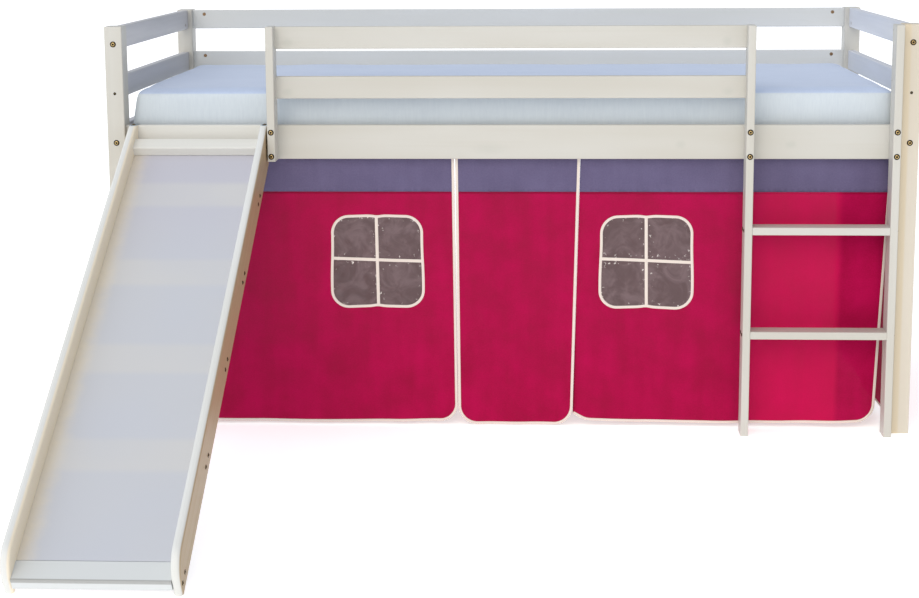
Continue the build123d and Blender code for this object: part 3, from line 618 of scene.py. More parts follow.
def cut_recess(head, cutters, top, dark_below):
    """Cuts the recess and stores how dark each point of the head is: patina in the recess, and painted
    shade low on the head.
    """
    for mesh in cutters:
        mesh.transform(Matrix.Translation((0, 0, top)))
        cutter = new_object("recess_cutter", mesh)
        cut = head.modifiers.new("recess", "BOOLEAN")
        cut.operation = "DIFFERENCE"
        cut.solver = "EXACT"
        cut.object = cutter
        settle(head)
        bpy.data.objects.remove(cutter)
    points = np.array([vertex.co for vertex in head.data.vertices])
    give(head.data, "patina", np.where(points[:, 2] < dark_below, 1.0, 0.0), "FLOAT")
    return head


def shank(name, radius, sides):
    """A round rod one metre long with a short taper at its far end, to be scaled to length."""
    profile = [(0, 0), (radius, 0), (radius, -0.9), (0.4 * radius, -1), (0, -1)]
    return new_object(name, lathe(name, profile, sides))


# %% One screw and one bolt
SCREW_RADIUS = 5.0 * MM
SCREW_HEIGHT = 1.6 * MM
SCREW_SHANK = 2.0 * MM
CROSS_WIDTH = 1.0 * MM
CROSS_REACH = 2.4 * MM
CROSS_DEPTH = 1.0 * MM
BOLT_RADIUS = 5.2 * MM
BOLT_SHADE_RING = 7.6 * MM
BOLT_HEIGHT = 2.6 * MM
BOLT_SHANK = 3.0 * MM
SOCKET_RADIUS = 2.9 * MM
SOCKET_DEPTH = 1.8 * MM
ROUND_SHARES = ((1, 0), (1, 0.35), (0.95, 0.6), (0.82, 0.82), (0.6, 0.95), (0.3, 1))


def screw_model(dark_share):
    dome = [(SCREW_RADIUS * share, SCREW_HEIGHT * rise) for share, rise in ROUND_SHARES]
    head = new_object("screw_head", lathe("screw_head", [(0, 0)] + dome + [(0, SCREW_HEIGHT)], 24))
    cross = [(CROSS_REACH, CROSS_WIDTH / 2, CROSS_DEPTH), (CROSS_WIDTH / 2, CROSS_REACH, CROSS_DEPTH)]
    cutters = [box_mesh("cross", half) for half in cross]
    return cut_recess(head, cutters, SCREW_HEIGHT, dark_share * SCREW_HEIGHT)


def bolt_model():
    # The wide flat ring round the foot of the head is painted shade round the bolt.
    rim = [(BOLT_SHADE_RING, 0), (BOLT_SHADE_RING, 0.12 * BOLT_HEIGHT), (BOLT_RADIUS * 1.02, 0.2 * BOLT_HEIGHT)]
    dome = [(BOLT_RADIUS * share, BOLT_HEIGHT * rise) for share, rise in
            ((1, 0.3), (0.98, 0.6), (0.9, 0.85), (0.78, 0.97), (0.7, 1))]
    head = new_object("bolt_head", lathe("bolt_head", [(0, 0)] + rim + dome + [(0, BOLT_HEIGHT)], 32))
    socket = lathe("socket", [(0, -SOCKET_DEPTH), (SOCKET_RADIUS, -SOCKET_DEPTH),
                              (SOCKET_RADIUS, SOCKET_DEPTH), (0, SOCKET_DEPTH)], 6)
    return cut_recess(head, [socket], BOLT_HEIGHT, 0.7 * BOLT_HEIGHT)


# A sunk screw is dark all over, as painted shade of the hole it sits in.
models = {"screw": (screw_model(0.7), shank("screw_shank", SCREW_SHANK, 12), SCREW_HEIGHT),
          "sunk screw": (screw_model(1.1), shank("sunk_shank", SCREW_SHANK, 12), SCREW_HEIGHT),
          "bolt": (bolt_model(), shank("bolt_shank", BOLT_SHANK, 16), BOLT_HEIGHT)}
print("bolt head has", len(models["bolt"][0].data.polygons), "faces")


# %% The tree that drives the fasteners
def new_tree(name, inputs):
    """A geometry tree with its sockets, and its two end nodes."""
    tree = bpy.data.node_groups.new(name, "GeometryNodeTree")
    tree.interface.new_socket("Geometry", in_out="INPUT", socket_type="NodeSocketGeometry")
    for title, kind in inputs:
        tree.interface.new_socket(title, in_out="INPUT", socket_type="NodeSocket" + kind)
    tree.interface.new_socket("Geometry", in_out="OUTPUT", socket_type="NodeSocketGeometry")
    return tree, tree.nodes.new("NodeGroupInput").outputs, tree.nodes.new("NodeGroupOutput").inputs


def named(tree, title, kind="FLOAT_VECTOR"):
    return node(tree, "GeometryNodeInputNamedAttribute", {"Name": title}, data_type=kind).outputs[0]


def close_tree(tree, geometry, material, result, soft=True):
    """Realizes the copies, gives them their finish and smooth faces, and ends the tree."""
    real = node(tree, "GeometryNodeRealizeInstances", {0: geometry}).outputs[0]
    if soft:
        real = node(tree, "GeometryNodeSetShadeSmooth", {0: real}).outputs[0]
    painted = node(tree, "GeometryNodeSetMaterial", {0: real, "Material": material}).outputs[0]
    tree.links.new(painted, result[0])


def grow(made, tree, values):
    """Runs a tree on an object with named values, and keeps the plain mesh."""
    modifier = made.modifiers.new(tree.name, "NODES")
    modifier.node_group = tree
    for item in tree.interface.items_tree:
        if item.in_out == "INPUT" and item.name in values:
            modifier[item.identifier] = values[item.name]
    return settle(made)


def build_fastener_tree():
    sockets = [("Head", "Object"), ("Shank", "Object"), ("Material", "Material")]
    tree, given, result = new_tree("fastener_tree", sockets)
    aim = node(tree, "FunctionNodeAlignRotationToVector", {"Vector": named(tree, "outwards")},
               axis="Z").outputs[0]
    turned = node(tree, "FunctionNodeRandomValue", {"Min": (0, 0, 0), "Max": (0, 0, math.tau), "Seed": 4},
                  data_type="FLOAT_VECTOR").outputs[0]
    aim = node(tree, "FunctionNodeRotateRotation", {"Rotation": aim, "Rotate By": turned},
               rotation_space="LOCAL").outputs[0]
    reach = named(tree, "reach", "FLOAT")
    length = node(tree, "ShaderNodeCombineXYZ", {0: 1.0, 1: 1.0, 2: reach}).outputs[0]
    parts = []
    for title, scale in (("Head", (1, 1, 1)), ("Shank", length)):
        model = node(tree, "GeometryNodeObjectInfo", {"Object": given[title]}).outputs["Geometry"]
        inputs = {"Points": given["Geometry"], "Instance": model, "Rotation": aim, "Scale": scale}
        parts.append(node(tree, "GeometryNodeInstanceOnPoints", inputs).outputs[0])
    both = tree.nodes.new("GeometryNodeJoinGeometry")
    for part in parts:
        tree.links.new(part, both.inputs[0])
    close_tree(tree, both.outputs[0], given["Material"], result, soft=False)
    return tree


fastener_tree = build_fastener_tree()


# %% Drive the fasteners
END_SLICE = 2 * MM


def fastener_place(points, head_height):
    """Head seat, outward direction and shank length of a plain fastener, whose head is its wide end."""
    low, high = points.min(0), points.max(0)
    axis = int(np.argmax(high - low))
    others = [index for index in range(3) if index != axis]
    middle = (low + high) / 2
    ends = (points[points[:, axis] < low[axis] + END_SLICE],
            points[points[:, axis] > high[axis] - END_SLICE])
    wide = [np.abs(end[:, others] - middle[others]).max() for end in ends]
    sign = 1 if wide[1] > wide[0] else -1
    outwards = np.zeros(3)
    outwards[axis] = sign
    seat = middle.copy()
    seat[axis] = (high[axis] if sign > 0 else low[axis]) - sign * head_height
    return seat, outwards, high[axis] - low[axis] - head_height


fasteners = {"slide_screws": ("screw", "slide"), "rung_screws": ("screw", "frame"),
             "ledge_screws": ("screw", "frame"), "post_screws": ("sunk screw", "frame"),
             "frame_bolts": ("bolt", "frame"), "guard_bolts": ("bolt", "frame"),
             "stile_bolts": ("bolt", "frame")}
for name, (kind, body) in fasteners.items():
    head, rod, head_height = models[kind]
    metal, slot = (bolt_bronze, "bronzed_bolt") if kind == "bolt" else (screw_yellow, "dark_screw")
    places = [fastener_place(points, head_height) for points in islands(name)]
    seats, outwards, reaches = zip(*places)
    mesh = mesh_of(name + "_driven", seats, [])
    give(mesh, "outwards", outwards)
    give(mesh, "reach", reaches, "FLOAT")
    driven = grow(new_object(name + "_driven", mesh), fastener_tree,
                  {"Head": head, "Shank": rod, "Material": metal})
    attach(driven, body)
    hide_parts(name)
    print(name, len(places), "places,", len(driven.data.polygons), "faces")
for head, rod, head_height in models.values():
    bpy.data.objects.remove(head)
    bpy.data.objects.remove(rod)

# %% [markdown]
# ## Cloth materials
# The curtain is plain-woven polyester in two colours. The weave group draws threads on the UV map,
# which here holds the flat cut in metres, so the threads follow the folds. A little of the light
# passes between the threads, so the cloth looks brighter where the pale floor is behind it and
# deeper where another curtain is. That is the group's cover value, which feeds Alpha.
# %% Weave group
THREAD_PITCH = 1.1 * MM
FOLD_SHADE_STRETCH = (26, 3, 1)
COVER_RANGE = (0.92, 0.955)


def build_weave():
    """Thread height, mottling with painted fold shade, and cover of a plain weave, from flat cloth
    coordinates in metres.
    """
    sockets = [("Cloth", "Vector", None), ("Pitch", "Float", THREAD_PITCH)]
    results = [("Height", "Float"), ("Mottle", "Float"), ("Cover", "Float")]
    group, given, result = new_group("plain_weave", sockets, results)
    rate = maths(group, "DIVIDE", math.pi, given["Pitch"])
    waves = []
    for axis in (0, 1):
        run = maths(group, "MULTIPLY", axis_of(group, given["Cloth"], axis), rate)
        waves.append(maths(group, "ABSOLUTE", maths(group, "SINE", run)))
    # Long upright streaks are painted shade of soft folds.
    creases = noise(group, vectors(group, "MULTIPLY", given["Cloth"], FOLD_SHADE_STRETCH), 1.0, 2.0)
    clouds = noise(group, given["Cloth"], 9.0, 4.0, 0.6)
    flecks = noise(group, given["Cloth"], 240.0, 3.0, 0.7)
    mottle = maths(group, "MULTIPLY_ADD", creases, 0.2, maths(group, "MULTIPLY", clouds, 0.45))
    mottle = maths(group, "MULTIPLY_ADD", flecks, 0.35, mottle)
    connect(group, result, Height=maths(group, "MULTIPLY", *waves), Mottle=mottle,
            Cover=spread(group, mottle, 0.3, 0.7, *COVER_RANGE))
    return group


plain_weave = build_weave()

# %% Cloths and threads
BACKLIT_SPAN = (0.63, 0.86)
BACKLIT_RED = (0.600, 0.006, 0.080, 1)
SEAM_SHADE_RED = (0.220, 0.001, 0.026, 1)


def cloth_material(name, deep, light, see_through=True, pitch=THREAD_PITCH, seam=None):
    """Woven cloth. A seam height adds painted shade just under the seam, and a lighter strip of painted
    light behind the ladder.
    """
    material, tree, shader = new_material(name, Roughness=0.85, Sheen_Weight=0.12, Sheen_Tint=light,
                                          Specular_IOR_Level=0.08)
    flat = tree.nodes.new("ShaderNodeTexCoord").outputs["UV"]
    weave = node(tree, "ShaderNodeGroup", {"Cloth": flat, "Pitch": pitch}, node_tree=plain_weave).outputs
    colour = tint(tree, spread(tree, weave["Mottle"], 0.32, 0.68), deep, light)
    if seam:
        # Painted shade just under the seam.
        seam_shade = spread(tree, axis_of(tree, flat, 1), seam - 9 * MM, seam - 3 * MM, 0.0, 0.55)
        colour = tint(tree, seam_shade, colour, SEAM_SHADE_RED)
        # Painted light behind the ladder: a lighter strip where light shows through the cloth and lifts the
        # ladder's shade.
        along = axis_of(tree, place_of(tree), 0)
        start = spread(tree, along, BACKLIT_SPAN[0] - 8 * MM, BACKLIT_SPAN[0] + 8 * MM)
        end = spread(tree, along, BACKLIT_SPAN[1] - 14 * MM, BACKLIT_SPAN[1] + 6 * MM, 0.5, 0.0)
        colour = tint(tree, maths(tree, "MULTIPLY", start, end), colour, BACKLIT_RED)
    connect(tree, shader, Base_Color=colour, Normal=bump(tree, weave["Height"], 0.25, 0.4 * MM))
    if see_through:
        connect(tree, shader, Alpha=weave["Cover"])
    return material


band_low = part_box("curtain_left_band")[0]
crimson_cloth = cloth_material("crimson_cloth", (0.290, 0.001, 0.036, 1), (0.425, 0.002, 0.066, 1),
                               seam=band_low.z)
violet_cloth = cloth_material("violet_cloth", (0.108, 0.090, 0.172, 1), (0.138, 0.118, 0.214, 1))
binding_cloth = cloth_material("binding_cloth", (0.66, 0.57, 0.52, 1), (0.74, 0.67, 0.61, 1), False)
sewing_thread = cloth_material("sewing_thread", (0.66, 0.60, 0.54, 1), (0.78, 0.72, 0.66, 1), False)
crimson_thread = cloth_material("crimson_thread", (0.22, 0.003, 0.03, 1), (0.30, 0.005, 0.05, 1), False)
print("seam at", round(band_low.z, 3), "and threads every", THREAD_PITCH / MM, "mm")

# %% [markdown]
# ## The cut of the curtain
# Each curtain is cut flat and then hung. Here a panel is a small class: it knows its flat outline,
# how deep its folds are at any height, and where a flat point hangs. Real cloth could be dropped
# by simulation, but this one hangs almost flat from a tape, and a formula keeps it clear of the
# rail and the ladder. The folds are sums of a few long waves with a fixed seed.
# %% Heights that all panels share
rail_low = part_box("side_rail_front")[0]
left_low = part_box("curtain_left")[0]
right_low, right_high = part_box("curtain_right")
door_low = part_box("curtain_door")[0]
header_low, header_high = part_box("curtain_door_header")

CLOTH_THICKNESS = 1.6 * MM
CLOTH_STANDOFF = 1.3 * MM
TAPE_CLEARANCE = 12 * MM
FOLD_DEPTH = 8 * MM
FINE_RIPPLE = 0.25 * MM
SEAM_FOLD = 9 * MM
SEAM_PINCH = 0.5 * MM
curtain_top = header_high.z
seam_z = band_low.z
flat_z = rail_low.z - TAPE_CLEARANCE
front_y = header_low.y + CLOTH_STANDOFF
print("curtain hangs from", round(curtain_top, 3), "with its seam at", round(seam_z, 3))

# %% How a panel hangs
LONGEST_WAVE = 0.42


def ripple(u, z, seed, count=9):
    """A quiet, mostly upright ripple between about -1 and 1."""
    rng = np.random.default_rng(seed)
    total = np.zeros_like(u)
    for index in range(count):
        wavelength = rng.uniform(0.11, LONGEST_WAVE)
        lean = rng.uniform(-0.25, 0.25)
        phase = rng.uniform(0, math.tau)
        total += np.sin(math.tau * (u + lean * z) / wavelength + phase) * wavelength
    return total / (LONGEST_WAVE * math.sqrt(count))


class Panel:
    """A curtain panel: spans are (left, right) in its own flat width, heights are real.

    The sag is how far the middle of its hem drops. A panel joined at its left has no free edge there.
    """

    def __init__(self, name, top_span, foot_span, hem, corner, place, seed, sag=0.0, joined_left=False):
        self.name, self.top_span, self.foot_span = name, top_span, foot_span
        self.hem, self.corner, self.place = hem, corner, place
        self.seed, self.sag, self.joined_left = seed, sag, joined_left

    def side(self, index, z):
        """A side edge's place at a height."""
        share = (curtain_top - z) / (curtain_top - self.hem)
        return self.top_span[index] + (self.foot_span[index] - self.top_span[index]) * share

    def hang(self, u, z):
        """Where flat points hang, as rows of three coordinates."""
        u, z = np.asarray(u, float), np.asarray(z, float)
        heights = [self.hem, (seam_z + self.hem) / 2, seam_z, flat_z, curtain_top]
        swell = FOLD_DEPTH * np.interp(z, heights, [1, 0.65, 0.2, 0, 0])
        depth = swell * (1 + 0.8 * np.clip(ripple(u, z, self.seed), -1.2, 1.2))
        depth += FINE_RIPPLE * ripple(u * 6, z * 5, self.seed + 1)
        just_under = np.clip((seam_z - z) / SEAM_FOLD, 0, 1)
        depth -= SEAM_PINCH * np.where(z < seam_z, (1 - just_under) ** 2, 0)
        left, right = self.side(0, z), self.side(1, z)
        across = np.clip((u - left) / (right - left), 0, 1)
        fall = np.clip((curtain_top - z) / (curtain_top - self.hem), 0, 1)
        drop = self.sag * (1 - (2 * across - 1) ** 2) * fall ** 2
        return self.place(u, depth, z - drop)

    def facing(self, u, z):
        """Unit normals of the hung cloth, on the side that shows."""
        step = 0.5 * MM
        along = self.hang(u + step, z) - self.hang(u - step, z)
        upwards = self.hang(u, z + step) - self.hang(u, z - step)
        normal = np.cross(along, upwards)
        return normal / np.linalg.norm(normal, axis=1)[:, None]


def in_front(u, depth, z):
    """Flat points of a front panel, hung behind the front rail."""
    return np.stack([u, front_y + depth, z], axis=1)


# %% Flat outlines
def spaced(points, spacing, closed=True):
    """Points with others put between them, so that no step is longer than the spacing."""
    ends = points[1:] + points[:1] if closed else points[1:]
    made = []
    for start, end in zip(points, ends):
        steps = max(1, math.ceil((end - start).length / spacing))
        made += [start.lerp(end, index / steps) for index in range(steps)]
    return made if closed else made + [points[-1]]


def rounded(corners, radii, steps=10):
    """An outline through corners, with an arc of the given radius at each."""
    made = []
    count = len(corners)
    for index, radius in enumerate(radii):
        here = Vector(corners[index])
        if not radius:
            made.append(here)
            continue
        before = (Vector(corners[index - 1]) - here).normalized()
        after = (Vector(corners[(index + 1) % count]) - here).normalized()
        half = before.angle(after) / 2
        centre = here + (before + after).normalized() * (radius / math.sin(half))
        start = here + before * (radius / math.tan(half)) - centre
        end = here + after * (radius / math.tan(half)) - centre
        for step in range(steps + 1):
            made.append(centre + start.lerp(end, step / steps).normalized() * radius)
    return made


def inside(points, loop):
    """Which points lie inside a closed outline."""
    x, y = points[:, 0], points[:, 1]
    result = np.zeros(len(points), bool)
    for start, end in zip(loop, loop[1:] + loop[:1]):
        crosses = (start.y > y) != (end.y > y)
        if abs(end.y - start.y) > 1e-12:
            result ^= crosses & (x < (end.x - start.x) * (y - start.y) / (end.y - start.y) + start.x)
    return result


# %% Cut, hang and thicken a sheet
def thicken(name, points, faces, flat, thickness, material):
    """A sheet with a UV map of its flat cut, made as thick as its cloth."""
    mesh = mesh_of(name, points, faces)
    layer = mesh.uv_layers.new(name="flat_cut")
    corners = np.zeros(len(mesh.loops), np.int32)
    mesh.loops.foreach_get("vertex_index", corners)
    layer.data.foreach_set("uv", flat[corners].astype(np.float32).ravel())
    made = new_object(name, mesh, material)
    shell = made.modifiers.new("thickness", "SOLIDIFY")
    shell.thickness = thickness
    shell.offset = 0
    return smooth(settle(made))


def beside(points, border):
    """Each point's distance to the nearest point of a border."""
    return np.sqrt(np.min(((points[:, None, :] - border[None, :, :]) ** 2).sum(2), axis=1))


def cut_cloth(name, loop, holes, panel, spacing, thickness, material, lift=0.0, crinkle=None):
    """A hung sheet with clean edges: its flat cut is filled with triangles, then every point is hung."""
    loops = [loop] + holes
    edge_points = [point for one in loops for point in one]
    edges, start = [], 0
    for one in loops:
        edges += [(start + index, start + (index + 1) % len(one)) for index in range(len(one))]
        start += len(one)
    border = np.array(edge_points)
    low, high = border.min(0), border.max(0)
    columns = np.arange(low[0] + spacing / 2, high[0], spacing)
    rows = np.arange(low[1] + spacing / 2, high[1], spacing * 0.87)
    shifts = [spacing / 2 if index % 2 else 0 for index in range(len(rows))]
    grid = np.array([(x + shift, y) for shift, y in zip(shifts, rows) for x in columns])
    grid = grid[(beside(grid, border) > 0.55 * spacing) & inside(grid, loop)]
    flat = edge_points + [Vector(point) for point in grid]
    points, _, faces, _, _, _ = delaunay_2d_cdt(flat, edges, [], 0, 1e-6)
    flat = np.array(points)
    centres = np.array([flat[list(face)].mean(0) for face in faces])
    kept = inside(centres, loop)
    for hole in holes:
        kept &= ~inside(centres, hole)
    faces = [face for face, keep in zip(faces, kept) if keep]
    push = lift + (crinkle(flat[:, 0], flat[:, 1]) if crinkle else 0)
    push = np.broadcast_to(push, len(flat))[:, None]
    hung = panel.hang(flat[:, 0], flat[:, 1]) + panel.facing(flat[:, 0], flat[:, 1]) * push
    a, b, c = (flat[np.array(faces)[:, index]] for index in range(3))
    area = float(np.abs(np.cross(b - a, c - a)).sum() / 2)
    return thicken(name, hung, faces, flat, thickness, material), area


# %% [markdown]
# ## Bindings and stitches
# A cream binding is folded over every free edge and round the windows, and it is sewn down with
# one row of stitches. Both follow a path on the hung cloth, so both are Geometry Nodes trees that
# read the path and the way that the cloth faces. The first sweeps a flat, round-edged section
# along it, and the second lays a thread at every step.
# %% Binding and stitch trees
BINDING_WIDTH = 7.4 * MM
BINDING_THICKNESS = 3.4 * MM
STITCH_LENGTH = 2.7 * MM
STITCH_PITCH = 3.8 * MM
STITCH_RADIUS = 0.32 * MM


def lay_rods(tree, points, sides, radius, length, along, facing):
    """A short rod at every point, lying along one direction and facing another."""
    rod = node(tree, "GeometryNodeMeshCylinder", {"Vertices": sides, "Radius": radius,
                                                  "Depth": length}).outputs[0]
    aim = node(tree, "FunctionNodeAxesToRotation", {"Primary Axis": along, "Secondary Axis": facing},
               primary_axis="Z", secondary_axis="X").outputs[0]
    return node(tree, "GeometryNodeInstanceOnPoints", {"Points": points, "Instance": rod,
                                                       "Rotation": aim}).outputs[0]


def faced_curve(tree, given):
    """The input path as a curve whose normal is the way that the cloth faces."""
    curve = node(tree, "GeometryNodeMeshToCurve", {"Mesh": given["Geometry"]}).outputs[0]
    return node(tree, "GeometryNodeSetCurveNormal", {"Curve": curve, "Normal": named(tree, "facing")},
                mode="FREE").outputs[0]


def build_binding_tree():
    sockets = [("Width", "Float"), ("Thickness", "Float"), ("Material", "Material")]
    tree, given, result = new_tree("binding_tree", sockets)
    section = node(tree, "GeometryNodeCurvePrimitiveQuadrilateral",
                   {"Width": given["Thickness"], "Height": given["Width"]}).outputs[0]
    radius = maths(tree, "MULTIPLY", given["Thickness"], 0.42)
    section = node(tree, "GeometryNodeFilletCurve", {"Curve": section, "Radius": radius, "Count": 3},
                   mode="POLY").outputs[0]
    inputs = {"Curve": faced_curve(tree, given), "Profile Curve": section, "Fill Caps": True}
    tube = node(tree, "GeometryNodeCurveToMesh", inputs).outputs[0]
    close_tree(tree, tube, given["Material"], result)
    return tree


def build_stitch_tree():
    sockets = [("Pitch", "Float"), ("Length", "Float"), ("Radius", "Float"), ("Lift", "Float"),
               ("Material", "Material")]
    tree, given, result = new_tree("stitch_tree", sockets)
    steps = node(tree, "GeometryNodeResampleCurve", {"Curve": faced_curve(tree, given),
                                                     "Length": given["Pitch"]}, mode="LENGTH").outputs[0]
    facing = named(tree, "facing")
    lifted = scaled(tree, facing, given["Lift"])
    steps = node(tree, "GeometryNodeSetPosition", {"Geometry": steps, "Offset": lifted}).outputs[0]
    along = tree.nodes.new("GeometryNodeInputTangent").outputs[0]
    laid = lay_rods(tree, steps, 6, given["Radius"], given["Length"], along, facing)
    close_tree(tree, laid, given["Material"], result)
    return tree


binding_tree = build_binding_tree()
stitch_tree = build_stitch_tree()


# %% Sewing along a path
def path_object(name, paths, closed, panel):
    """Flat paths as hung edges that carry the way the cloth faces. Each is closed or open."""
    points, edges = [], []
    for path, ring in zip(paths, closed):
        start = len(points)
        points += path
        last = len(path) if ring else len(path) - 1
        edges += [(start + index, start + (index + 1) % len(path)) for index in range(last)]
    flat = np.array(points)
    mesh = mesh_of(name, panel.hang(flat[:, 0], flat[:, 1]), [], edges)
    give(mesh, "facing", panel.facing(flat[:, 0], flat[:, 1]))
    return new_object(name, mesh)


def bind(name, paths, closed, panel, width=BINDING_WIDTH, thickness=BINDING_THICKNESS):
    """A cream tape along flat paths."""
    return grow(path_object(name, paths, closed, panel), binding_tree,
                {"Width": width, "Thickness": thickness, "Material": binding_cloth})


def stitch(name, paths, closed, panel, lift, thread=sewing_thread, radius=STITCH_RADIUS):
    """A row of stitches along flat paths, on top of something twice as thick as the lift."""
    values = {"Pitch": STITCH_PITCH, "Length": STITCH_LENGTH, "Radius": radius, "Lift": lift,
              "Material": thread}
    return grow(path_object(name, paths, closed, panel), stitch_tree, values)


def inset(path, distance, closed):
    """A flat path moved to its left, which is inwards on an outline that runs anticlockwise."""
    points = np.array(path)
    if closed:
        before, after = np.roll(points, 1, 0), np.roll(points, -1, 0)
    else:
        before = np.vstack([points[:1], points[:-1]])
        after = np.vstack([points[1:], points[-1:]])
    run = after - before
    run /= np.linalg.norm(run, axis=1)[:, None]
    left = np.stack([-run[:, 1], run[:, 0]], axis=1)
    return [Vector(point) for point in points + left * distance]


# %% [markdown]
# ## The three front panels
# The left and right panels have a window each, with a cross of cream tape, and the door between
# them is cut narrower towards its foot. Every panel is a violet band sewn to a crimson body. The
# door's right-hand binding lies against the right panel, whose own binding starts low down, where
# the two part. The window openings run anticlockwise too, so an inset with a minus moves outwards.
# %% Window shape
WINDOW_WIDTH = 234 * MM
WINDOW_HEIGHT = 237 * MM
WINDOW_CORNER = 42 * MM
WINDOW_WOBBLE = 1.8 * MM
WINDOW_PUCKER = 2.6 * MM
PUCKER_REACH = 14 * MM
EDGE_SPACING = 6 * MM
SLOPE_RISE = 17 * MM
SLOPE_RUN = 34 * MM
SLOPE_RADIUS = 60 * MM
CLOTH_SPACING = 8.5 * MM


def window_loop(centre_x, bottom, grow_by=0.0):
    """A window's outline, anticlockwise, a little uneven as sewn by hand."""
    half = WINDOW_WIDTH / 2 + grow_by
    low, high = bottom - grow_by, bottom + WINDOW_HEIGHT + grow_by
    corners = [(centre_x - half, low), (centre_x + half, low), (centre_x + half, high),
               (centre_x - half, high)]
    loop = spaced(rounded(corners, [WINDOW_CORNER + grow_by] * 4), EDGE_SPACING)
    middle = Vector((centre_x, (low + high) / 2))
    made = []
    for point in loop:
        ray = point - middle
        wobble = WINDOW_WOBBLE * math.sin(3 * math.atan2(ray.y, ray.x) + centre_x * 9)
        pulled = WINDOW_PUCKER * math.exp(-(ray.x / PUCKER_REACH) ** 2)
        made.append(point + ray.normalized() * (wobble - pulled))
    return made


# %% Outlines of a panel
def foot_of(panel):
    """A panel's two lower corners, as points and radii. A joined left corner is a low slope."""
    (left, right), hem = panel.foot_span, panel.hem
    points, radii = [(left, hem)], [panel.corner]
    if panel.joined_left:
        start_z = hem + SLOPE_RISE
        points, radii = [(panel.side(0, start_z), start_z), (left + SLOPE_RUN, hem)], [0, SLOPE_RADIUS]
    return points + [(right, hem)], radii + [panel.corner]


def side_path(panel):
    """The free edge of a panel: down its left side, along its hem and up its right side."""
    points, radii = foot_of(panel)
    if not panel.joined_left:
        points, radii = [(panel.top_span[0], curtain_top)] + points, [0] + radii
    points.append((panel.top_span[1], curtain_top))
    return spaced(rounded(points, radii + [0]), EDGE_SPACING, closed=False)


def seam_ends(panel):
    return (panel.side(0, seam_z), seam_z), (panel.side(1, seam_z), seam_z)


def body_loop(panel):
    """The crimson part's outline, anticlockwise from the left end of its seam."""
    points, radii = foot_of(panel)
    left, right = seam_ends(panel)
    return spaced(rounded([left] + points + [right], [0] + radii + [0]), EDGE_SPACING)


def band_loop(panel):
    """The violet part's outline, anticlockwise from its upper left corner."""
    left, right = seam_ends(panel)
    corners = [(panel.top_span[0], curtain_top), left, right, (panel.top_span[1], curtain_top)]
    return spaced([Vector(corner) for corner in corners], EDGE_SPACING)


# %% Film for the windows
FILM_SHADE_DEEP = (0.085, 0.044, 0.046, 1)
FILM_SHADE_PALE = (0.140, 0.088, 0.094, 1)
FILM_GLINT = (0.78, 0.72, 0.68, 1)
NEEDLE_TURNS = (0.5, -0.9, 1.9)
NEEDLE_STRETCH = (210, 40, 1)


def film_material():
    """Clear film, dark brown as painted shade of the dim bed behind it: slow clouds, fine scuffs, and short
    painted glints at its edges.
    """
    material, tree, shader = new_material("window_film", Roughness=0.22, Specular_IOR_Level=0.4,
                                          Coat_Weight=0.15, Coat_Roughness=0.08)
    cloth = tree.nodes.new("ShaderNodeTexCoord").outputs["UV"]
    clouds = noise(tree, cloth, 16.0, 4.0, 0.6, 1.4)
    # Dark brown: painted shade of the dim bed seen through the window.
    colour = tint(tree, spread(tree, clouds, 0.35, 0.7), FILM_SHADE_DEEP, FILM_SHADE_PALE)
    crease = node(tree, "ShaderNodeAttribute", attribute_name="crease").outputs["Fac"]
    needles = 0.0
    for turned in NEEDLE_TURNS:
        mapped = node(tree, "ShaderNodeMapping", {"Vector": cloth, "Rotation": (0, 0, turned),
                                                  "Scale": NEEDLE_STRETCH}).outputs[0]
        contour = maths(tree, "ABSOLUTE", maths(tree, "SUBTRACT", noise(tree, mapped, 1.0, 1.0), 0.5))
        needles = maths(tree, "MAXIMUM", needles, spread(tree, contour, 0.012, 0.03, 1.0, 0.0))
    broken = spread(tree, noise(tree, cloth, 110.0, 2.0), 0.61, 0.68)
    # Painted glints, strongest beside the tapes and the binding.
    needle_glints = maths(tree, "MULTIPLY", needles, broken)
    glint = maths(tree, "MULTIPLY", needle_glints, spread(tree, crease, 0.1, 0.6))
    connect(tree, shader, Base_Color=tint(tree, glint, colour, FILM_GLINT),
            Alpha=spread(tree, maths(tree, "ADD", clouds, glint), 0.3, 1.0, 0.95, 0.99),
            Normal=bump(tree, noise(tree, cloth, 90.0, 4.0, 0.6, 1.0), 0.35))
    return material


window_film = film_material()

# %% Crinkles in the film
CRINKLE_DEPTH = 3.0 * MM
CRINKLE_LEVEL = 0.64
CRINKLE_COUNT = 14


def crinkle_of(seed):
    """Small sharp creases in a film, as a depth for each flat point."""
    rng = np.random.default_rng(seed)
    waves = [(rng.uniform(0, math.tau), rng.uniform(0.018, 0.06), rng.uniform(0, math.tau))
             for _ in range(CRINKLE_COUNT)]

    def depth(u, z):
        total = np.zeros_like(u)
        for angle, wavelength, phase in waves:
            run = u * math.cos(angle) + z * math.sin(angle)
            total += np.abs(np.sin(math.pi * run / wavelength + phase)) * wavelength
        return CRINKLE_DEPTH * (total / sum(wave[1] for wave in waves) - CRINKLE_LEVEL)
    return depth


